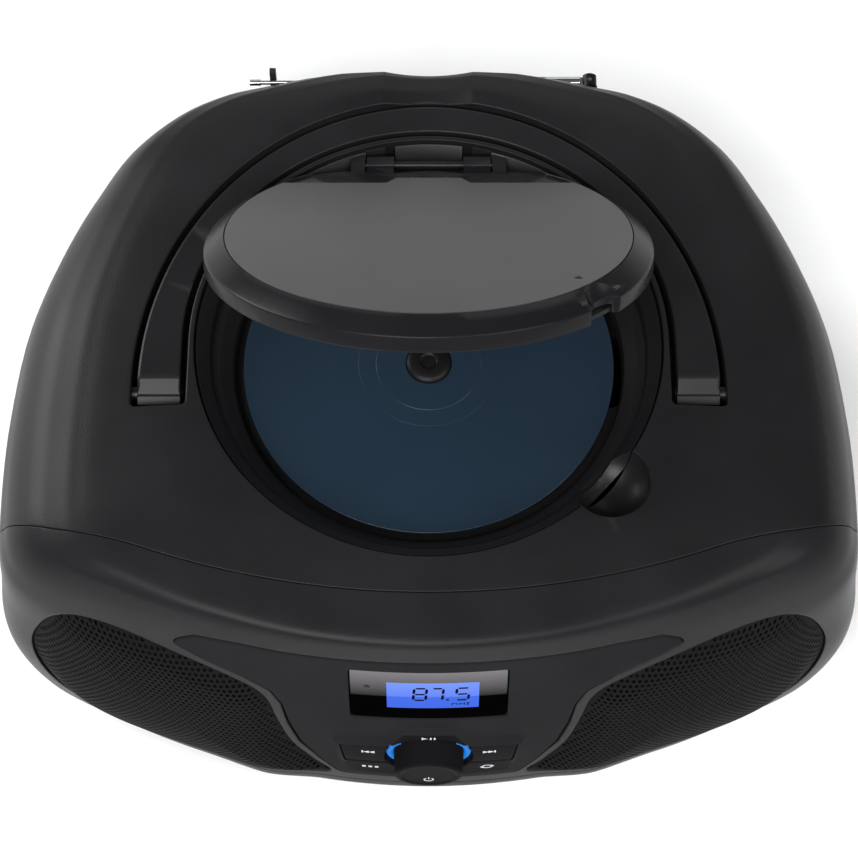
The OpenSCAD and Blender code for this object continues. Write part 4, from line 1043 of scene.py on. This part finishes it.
# ---------------------------------------------------------------- display
def behind_front(depth):
    return lambda q: front_point(q) + (0, depth, 0)


lens_surface = behind_front(0.35)
make("window_lens", *sheet(lens_surface, lip(window_edge(24.4, 64.7, 93.6, 1.1, 1.4), 0.25, 1.6), [], 1.4, 2.4),
     LENS_PAINTED_REFLECTION, "window", "display_window")
LCD = resample([(-13.1, 72.0), (15.7, 72.0), (15.7, 87.7), (-13.1, 87.7)], 1.2)
make("lcd_picture", *sheet(behind_front(0.32), lip(LCD, 0.02, 0.06), [], 0.06, 2.0), DISPLAY_GLOW_AND_PAINTED_REFLECTION, "display")
SEGMENTS = {"8": "abcdefg", "7": "abc", "5": "acdfg"}


def digit(kind, x, z, w, h, thick=0.85, lean=0.06):
    """Seven-segment digit with its lower left corner at x, z."""
    lines = {"a": ((0, h), (w, h)), "b": ((w, h / 2), (w, h)), "c": ((w, 0), (w, h / 2)), "d": ((0, 0), (w, 0)),
             "e": ((0, 0), (0, h / 2)), "f": ((0, h / 2), (0, h)), "g": ((0, h / 2), (w, h / 2))}
    out = []
    for s in SEGMENTS[kind]:
        a, b = (np.array(p, float) for p in lines[s])
        u = (b - a) / np.linalg.norm(b - a)
        a, b = a + u * 0.3, b - u * 0.3
        u, n = u * thick / 2, np.array([-u[1], u[0]]) * thick / 2
        hexa = np.array([a, a + u + n, b - u + n, b, b - u - n, a + u - n])
        out.append(hexa + (x, z) + np.outer(hexa[:, 1] * lean, (1, 0)))
    return out


DIGIT_Z, DIGIT_HIGH, UNIT_Z = 77.2, 7.4, 74.6
digits = [outline for kind, x, w in (("8", -4.9, 3.9), ("7", 0.6, 3.6), ("5", 8.4, 3.9))
          for outline in digit(kind, x, DIGIT_Z, w, DIGIT_HIGH)]
digits += [bar(5.9, 77.4, 0.8, 0.9)] + [bar(x, UNIT_Z, 0.3, 1.5) for x in (7.4, 8.9, 9.8, 11.2)]
digits += [bar(8.15, 75.0, 0.9, 0.35), bar(10.5, UNIT_Z, 1.1, 0.3), bar(12.3, 75.2, 1.0, 0.3),
           bar(12.3, 74.0, 1.0, 0.3), bar(12.3, UNIT_Z, 0.4, 0.9)]
marks("lcd_digits", digits, lens_surface, "cabinet", DIGIT, 0.06, "display")
marks("lens_sensor", [arc(1.0, 0, 345, 20, (-19.3, 84.6))], lens_surface, "cabinet", INNER, 0.02, "window")

# ---------------------------------------------------------------- knob and light ring
FACE, FACE_DIP = 120.2, 0.35
knob = revolved([(0.01, FACE - FACE_DIP), (8.6, FACE - FACE_DIP), (9.3, FACE), (10.3, FACE), (10.75, FACE - 0.15),
                 (11.0, FACE - 0.6), (11.5, 112.0), (11.45, 111.4), (11.2, 111.0), (9.4, 111.0), (9.4, 117.6),
                 (3.4, 117.6), (3.4, 109.0), (0.01, 109.0)], 128, (0, 0, KNOB_Z), "y")
make("knob_cap", *knob, KEY, "key_plastic", "volume_knob", "knob", bevel=0.12, merge=1e-3, angle=20)
marks("power_mark", [stroke(arc(1.5, 125, 415, 24, (0, 33.4)), 0.42), bar(0, 34.7, 0.42, 1.9)],
      lambda q: np.insert(q, 1, FACE_DIP - FACE, axis=1), "knob")
ring = revolved([(12.1, 104.0), (12.1, 111.9), (12.35, 112.2), (13.55, 112.2), (13.8, 111.9), (13.8, 104.0)], 128,
                (0, 0, KNOB_Z), "y")
feet = [prism(arc(0.8, 0, 330, 12, (12.95 * math.cos(t), KNOB_Z + 12.95 * math.sin(t))), -104.5, -99.0, "y")
        for t in (0, math.pi, 1.5 * math.pi)]
light = boolean(solid(merged(ring, *feet)), [box_mesh((-8.9, -120, KNOB_Z + 5), (8.9, -110.4, KNOB_Z + 20))])
finish_piece("light_ring", light, GLOW, "light_guide", "led_ring")

# ---------------------------------------------------------------- lid
LID_AXIS, LID_OPEN = np.array([68.0, 110.0]), math.radians(37.2)
LID_SCOOP, SCOOP_BALL = (53.7, -47.5, 116.3), 9.5
EARS, EAR_HALF, BRACKETS, BRACKET_HALF, HINGE_GAP = 16.0, 4.5, 23.4, 2.3, 0.4
PLATE_R, PLATE_CHORD, PLATE_TOP = 62.3, 41.0, 114.1


def swing(me):
    """Turns a mesh drawn with the lid closed to the open lid's place."""
    pivot = Vector((0, (LID_AXIS[0] + DISC_Y) * MM, LID_AXIS[1] * MM))
    me.transform(Matrix.Translation(pivot) @ Matrix.Rotation(-LID_OPEN, 4, "X") @ Matrix.Translation(-pivot))
    return me


def ball(centre, r):
    t = np.linspace(-math.pi / 2, math.pi / 2, 37)
    return revolved(np.column_stack([np.maximum(r * np.cos(t), 0.004), r * np.sin(t)]), 72, centre)


def pair(x, half, low, high):
    """Two cutter's boxes on either side of the middle, between the corners (y, z) low and high."""
    return [box_mesh((s * x - half, *low), (s * x + half, *high)) for s in (-1, 1)]


def turned_box(lo, hi, degrees, pivot):
    """A box turned about a line along X through pivot (y, z)."""
    v, f = box_mesh(lo, hi)
    a = math.radians(degrees)
    y, z = v[:, 1].copy(), v[:, 2].copy()
    v[:, 1] = pivot[0] + y * math.cos(a) - z * math.sin(a)
    v[:, 2] = pivot[1] + y * math.sin(a) + z * math.cos(a)
    return v, f


def rod(r, x0, x1, y, z, steps=32):
    """A cylinder along X."""
    t = np.arange(steps) * 2 * math.pi / steps
    ring = np.stack([np.zeros(steps), y + r * np.cos(t), z + r * np.sin(t)], -1)
    return lofted([ring + (x0, 0, 0), ring + (x1, 0, 0)])


EDGE = [(69, 105.2), (68.7, 104.7), (68.2, 104.6), (67, 104.6), (67, 108.6), (61.8, 110.8), (0.01, 110.8)]
rim = [(0.01, 113), (PLATE_R + 0.1, 113), (PLATE_R + 0.15, 113.75), (62.7, 114.0)]
rim += [(62.7 + 5.7 * t, 114.0 - 3.9 * t**1.12) for t in (0.25, 0.5, 0.75, 1)]
lid = solid(revolved(rim + [(68.8, 109.7), (69, 109.2)] + EDGE, 180))
lid = boolean(lid, [turned_box((-80, 0, -2), (80, 40, 12), -14, (50, 115))])
lugs = [rod(3.1, s * EARS - EAR_HALF, s * EARS + EAR_HALF, *LID_AXIS, 40) for s in (-1, 1)]
arms = pair(EARS, EAR_HALF, (58, 107.7), (67, 110.8))
dish = boolean(solid(ball(LID_SCOOP, SCOOP_BALL + 2)),
               [solid(revolved([(0.01, 107.4), (67.2, 107.4), (67.2, 111.8), (0.01, 111.8)], 120))], "INTERSECT")
lid = boolean(lid, [lugs[0], arms[0], lugs[1], arms[1], dish], "UNION")
slot_middle = np.array(LID_SCOOP[:2]) * 1.035
lid = boolean(lid, [ball(LID_SCOOP, SCOOP_BALL), rod(1.56, -40, 40, *LID_AXIS)]
              + pair(BRACKETS, BRACKET_HALF + HINGE_GAP, (62, 100), (80, 120))
              + [box_mesh((EAR_HALF - EARS + 0.1, 66.2, 100), (EARS - EAR_HALF - 0.1, 80, 120)),
                 prism(arc(9.0, 0, 354, 60, slot_middle), 100, 109.6)])
finish_piece("lid_ring", swing(clean(lid)), SHEEN, "case_plastic", "lid_shell", "lid", bevel=0.3, angle=34)

tab = [(13.5, PLATE_CHORD), (10.5, 45.5), (-10.5, 45.5), (-13.5, PLATE_CHORD)]
end = math.degrees(math.asin(PLATE_CHORD / PLATE_R))
plate_edge = np.vstack([arc(PLATE_R, 180 - end, 360 + end, 150), tab])
plate = boolean(solid(prism(resample(plate_edge, 1.2), 113.0, PLATE_TOP)), [ball(LID_SCOOP, SCOOP_BALL)])
finish_piece("lid_plate", swing(clean(plate)), PLATE, "lid_plate", "lid_top_plate", "lid", bevel=0.2, angle=34)


def on_plate(xy, lift):
    """Plan points of the closed lid, lift above its plate, at the open lid's place."""
    y, z = xy[:, 1] - LID_AXIS[0], PLATE_TOP + lift - LID_AXIS[1]
    c, s = math.cos(-LID_OPEN), math.sin(-LID_OPEN)
    return np.column_stack([xy[:, 0], LID_AXIS[0] + y * c - z * s, LID_AXIS[1] + y * s + z * c])


aim = np.array([math.cos(math.radians(-40)), math.sin(math.radians(-40))])
side_way, spot = np.array([-aim[1], aim[0]]), aim * 57.2
arrow = ccw(np.array([spot + aim * 1.3, spot - aim * 0.9 + side_way * 1.3, spot - aim * 0.9 - side_way * 1.3]))
make("lid_arrow", *lofted([on_plate(arrow, 0.01), on_plate(arrow, 0.06)]), INNER, "lid_plate", ride="lid",
     weighted=False)

cover = solid(revolved([(0.01, 107.2), (20, 107.2), (24, 106.2), (64, 106.2), (66.6, 104.8), (66.6, 106.4),
                        (64.4, 107.6), (24.4, 107.6), (20.4, 108.6), (0.01, 108.6)], 160))
cover = boolean(cover, [box_mesh((-28, 60, 100), (28, 80, 120))])
finish_piece("lid_underside", swing(cover), INNER, "inner_plastic", "lid_inner_cover", "lid", bevel=0.25, angle=40)

# ---------------------------------------------------------------- disc well
well = solid(revolved([(17, 89.6), (61.6, 89.6), (64.8, 93), (65.6, 98.2), (69.2, 101.2), (72.2, 102), (74.4, 108),
                       (74.4, 113), (74.1, 113.4), (73.7, 113.3), (71.6, 110.9), (70.3, 109.2), (69.95, 108.4),
                       (69.8, 104.4), (69.5, 103.8), (68.9, 103.5), (67.6, 103.3), (67.0, 103.0), (63.6, 98.6),
                       (63.2, 97.9), (62.7, 93.3), (62.4, 92.6), (61.4, 91.8), (60.6, 91.6), (17, 91.6)], 180))
whole = solid(revolved([(0.01, 90), (74.4, 90), (74.4, 120), (0.01, 120)], 96))
well = boolean(well, [boolean(solid(part), [whole], "INTERSECT")
                      for part in pair(BRACKETS, BRACKET_HALF, (63, 100), (72.5, 113))], "UNION")
well = boolean(well, [ball(DIMPLE, DIMPLE_R), box_mesh((16, -13, 80), (63, 13, 94))]
               + pair(EARS, EAR_HALF + HINGE_GAP, (58, 103.9), (73, 120)) + [rod(1.5, -25.9, 25.9, *LID_AXIS)])
finish_piece("well_tray", clean(well), WELL, "inner_plastic", "cd_well", bevel=0.2, angle=40)

# ---------------------------------------------------------------- disc and hub
disc = revolved([(7.5, 96.85), (7.6, 96.8), (59.8, 96.8), (60, 96.95), (60, 97.85), (59.8, 98.0), (23.0, 98.0),
                 (22.8, 97.9), (22.6, 98.0), (17.2, 98), (17, 98.15), (16.8, 98), (7.6, 98), (7.5, 97.95)], 180)
make("disc_body", *disc, DISC, "disc", "compact_disc", "disc", merge=1e-3)
hub = revolved([(0.01, 93.6), (15.3, 93.6), (15.5, 93.8), (15.5, 96.6), (15.3, 96.8), (7.3, 96.8), (7.3, 98.0),
                (7.1, 98.6), (5.9, 99.5), (3.2, 99.6), (2.6, 99.3), (2.3, 98.9), (0.01, 98.9)], 120)
shaft, shaft_faces = rod(1.0, 73, 94, 0, 0, 24)
make("hub_cap", *merged(hub, (shaft[:, [1, 2, 0]], shaft_faces)), INNER, slot_of["disc_hub"], "disc_hub", "disc",
     merge=1e-3, angle=34)

# ---------------------------------------------------------------- handle
PIVOT_Y, PIVOT_Z = -16.0, 107.5
HANDLE_LOW, HANDLE_SPLIT, HANDLE_TOP = PIVOT_Z - 4.5, 111.0, PIVOT_Z + 6.9
SLANT = [(PIVOT_Y - 5.3, PIVOT_Z), (PIVOT_Y - 4.9, PIVOT_Z + 2), (PIVOT_Y + 2.4, HANDLE_TOP), (100, HANDLE_TOP)]
arm_y = np.concatenate([PIVOT_Y - 5.25 + 0.35 * np.arange(22), np.arange(-13, 0, 1.0)])
arm_out = [HANDLE_A * math.sqrt(1 - (max(y - OVAL_Y, 0) / HANDLE_B) ** 2) for y in arm_y]
sweep = np.linspace(0, math.pi / 2, 90)
inner_right = np.vstack([np.column_stack([np.full(len(arm_y), HANDLE_R), arm_y]),
                         HANDLE_R * np.stack([np.cos(sweep), np.sin(sweep)], -1)])
rise = np.linspace(math.asin(-OVAL_Y / HANDLE_B), math.pi / 2, 90)
outer_right = np.vstack([np.column_stack([arm_out, arm_y]),
                         np.stack([HANDLE_A * np.cos(rise), OVAL_Y + HANDLE_B * np.sin(rise)], -1)])
outer_line = np.vstack([outer_right, outer_right[-2::-1] * (-1, 1)])
inner_line = np.vstack([inner_right, inner_right[-2::-1] * (-1, 1)])


def handle_part(name, source, cover):
    """The handle's upper or lower moulding, as a rounded section swept from one arm's end to the other's."""
    rings = []
    for o, i in zip(outer_line, inner_line):
        y = min(o[1], i[1])
        top = float(np.interp(y, *zip(*SLANT)))
        dip = math.sqrt(max(5.3**2 - min(y - PIVOT_Y, 0) ** 2, 0))
        low = HANDLE_SPLIT + 0.05 if cover else max(PIVOT_Z - dip, HANDLE_LOW)
        top = top if cover else min(top, HANDLE_SPLIT)
        if top - low < (0.12 if cover else 0.3):
            continue
        u = (i - o) / np.linalg.norm(i - o)
        ro, ri = [min(r, 0.8 * (top - low)) for r in ((1.25, 0.7) if cover else (0.25, 0.25))]
        lo = min(0.25, 0.15 * (top - low))
        pts = [(o + u * lo, low), (o, low + lo)]
        quarter = np.linspace(0, math.pi / 2, 5)
        pts += [(o + u * ro * (1 - math.cos(t)), top - ro + ro * math.sin(t)) for t in quarter]
        pts += [(i - u * ri * (1 - math.sin(t)), top - ri + ri * math.cos(t)) for t in quarter]
        pts += [(i, low + lo), (i - u * lo, low)]
        rings.append(np.array([(q[0], q[1], z) for q, z in pts]))
    me = solid(lofted(rings))
    if not cover:
        me = boolean(me, [rod(2.56, -100, 100, PIVOT_Y, PIVOT_Z)])
    finish_piece(name, me, HANDLE, "case_plastic", source, "handle")


handle_part("handle_lower", "handle_frame", False)
handle_part("handle_upper", "handle_cover", True)

# ---------------------------------------------------------------- base
BASE_TOP = 12.3
ring_angles = np.linspace(-math.pi, math.pi, 480, endpoint=False)


def body_loop(z, inside_by=0.0):
    """The body's outline at a height, as plan points inset by a distance, at that height or the floor's edge."""
    p = body(chart(ring_angles, float(v_at(max(z, 3.0)))))[:, :2]
    return at_height(inset(p, inside_by) if inside_by else p, z)


SKIRT = [(3.0, 0.9), (3.12, 0.35), (3.5, 0.05), (4.2, 0), (5, 0), (6.5, 0), (8, 0), (10, 0), (11.8, 0),
         (12.15, 0.12), (BASE_TOP, 0.4)]
outer_rows = [body_loop(z, inset_by) for z, inset_by in SKIRT]
inner_rows = [body_loop(z, 2.4) for z in (5.4, 8, 10, 12.29)]
base = boolean(solid(lofted(outer_rows)), [solid(lofted(inner_rows[:3] + [inner_rows[3] + (0, 0, 2)]))])
BAY, BAY_WALL = ((-78, 26, 5.4), (78, 84, 34)), 2.0
DOOR, DOOR_GAP = ((-73, 28, 3), (73, 87, 5)), 0.4
FEET = [(-104, -62), (104, -62), (-88, 60), (88, 60)]
SCREWS = [(s * x, y) for x, y in ((87, 72), (112, -30), (20, -96)) for s in (-1, 1)]
POSTS = [(-70, -50), (70, -50), (-70, 12), (70, 12)]


def post(p, low, high, r, steps=32):
    return prism(arc(r, 0, 360 - 360 / steps, steps, p), low, high)


bay_low, bay_high, door_low, door_high = (np.array(p) for p in (*BAY, *DOOR))
base = boolean(base, [box_mesh((*bay_low[:2] - BAY_WALL, 4), bay_high + BAY_WALL)]
               + [post(p, 4, 16, 3) for p in POSTS] + [post(p, 4, BASE_TOP, 4.5) for p in SCREWS]
               + [post(p, 4, 8, 5) for p in FEET], "UNION")
base = boolean(base, [box_mesh((*bay_low[:2], 5.3), bay_high), box_mesh((-71, 30, 2), (71, 81, 8)),
                      box_mesh((*door_low[:2] - DOOR_GAP, 2), (door_high[0] + DOOR_GAP, 120, 5.3))]
               + [post(p, 0, 20, 1.7) for p in SCREWS] + [post(p, 0, 6.5, 3.2) for p in SCREWS]
               + [post(p, 8, 18, 1.2) for p in POSTS] + [post(p, 0, 20, 2.6) for p in FEET])
finish_piece("base_tray", clean(base), CASE, "case_plastic", "base_case")

# The lower front corners, the grilles and the rear corners stand a little proud of the lofted form. Both curves
# give millimetres for a heading in degrees, from -90 at the front to 90 at the back.
fuller = monotone([-90.1, -80, -62, -50, -36, -20, -8, 4, 20, 91], [0, 0, 2.5, 2.5, 1.5, 2.9, 4.9, 2.8, 0, 0])
rounder = monotone([-91, 38, 45, 53, 59, 65, 70, 75, 91], [0, 0, 0.4, 2.7, 3.2, 2.1, 0.4, 0, 0])
for name in ("front_shell", "grille_left", "grille_right", "base_tray", "upper_shell"):
    me = bpy.data.objects[name].data
    p = np.empty(len(me.vertices) * 3)
    me.vertices.foreach_get("co", p)
    p = p.reshape(-1, 3)
    way = p[:, :2] / MM - (0, DISC_Y + WIDE_Y)
    reach = np.maximum(np.hypot(*way.T), 1e-6)
    outermost = smoothstep((reach / ring_radius(np.arctan2(way[:, 1], way[:, 0])) - 0.82) / 0.1)
    heading = np.degrees(np.arcsin(np.clip(way[:, 1] / reach, -1, 1)))
    push = fuller(heading) * smoothstep((76 - p[:, 2] / MM) / 46) + rounder(heading)
    push *= outermost * smoothstep((np.abs(way[:, 0]) - 36) / 20)
    p[:, :2] += way / reach[:, None] * (push * MM)[:, None]
    me.vertices.foreach_set("co", p.ravel())
    me.update()

for source, width in (("battery_door", 0.35), ("mains_inlet", 0.3), ("audio_jacks", 0.25), ("rubber_feet", 0.4),
                      ("antenna_knuckle", 0.35), ("antenna_tube", 0.2), ("antenna_rod", 0.2),
                      ("case_screws", 0.15)):
    refined(source, width)


# ---------------------------------------------------------------- stage
floor = bpy.data.meshes.new("floor")
floor.from_pydata([(-6, -6, 0), (6, -6, 0), (6, 6, 0), (-6, 6, 0)], [], [(0, 1, 2, 3)])
floor.materials.append(material("floor", (0.9, 0.9, 0.9), 0.9, mottle=0.01, specular=0.1))
linked("floor", floor)


def softbox(name, place, aim, size, power):
    data = bpy.data.lights.new(name, "AREA")
    data.shape, data.size, data.size_y, data.energy = "RECTANGLE", size[0], size[1], power
    o = linked(name, data)
    o.location = place
    o.rotation_euler = (Vector(aim) - Vector(place)).to_track_quat("-Z", "Y").to_euler()


softbox("key_light", (-0.5, -1.5, 1.9), (0, 0, 0.05), (1.6, 1.2), 66)
softbox("fill_light", (1.4, -0.9, 1.6), (0, 0, 0.05), (1.4, 1.4), 27)
softbox("left_light", (-1.9, 1.05, 0.95), (0, 0, 0.08), (1.0, 1.4), 46)
softbox("rear_light", (0.3, 2.2, 1.3), (0, 0, 0.05), (2.4, 0.7), 10)
world = bpy.data.worlds.new("studio")
world.use_nodes = True
sky = only(world.node_tree, "BACKGROUND")
sky.inputs["Color"].default_value = (0.9, 0.92, 0.95, 1)
sky.inputs["Strength"].default_value = 0.14
bpy.context.scene.world = world
bpy.context.scene.view_settings.view_transform = "Standard"

# ---------------------------------------------------------------- camera
LOOK_DOWN = math.radians(64.02)
FOCAL, FRAME_WIDE = 2310.3, 858
camera = bpy.data.cameras.new("camera")
camera.sensor_width = 36.0
camera.lens = FOCAL / FRAME_WIDE * camera.sensor_width
camera.clip_start, camera.clip_end = 0.01, 30
eye = linked("camera", camera)
eye.location = to_metres((0.1, -347.8, 762.8))
eye.rotation_euler = (math.pi / 2 - LOOK_DOWN, 0, 0)
bpy.context.scene.camera = eye
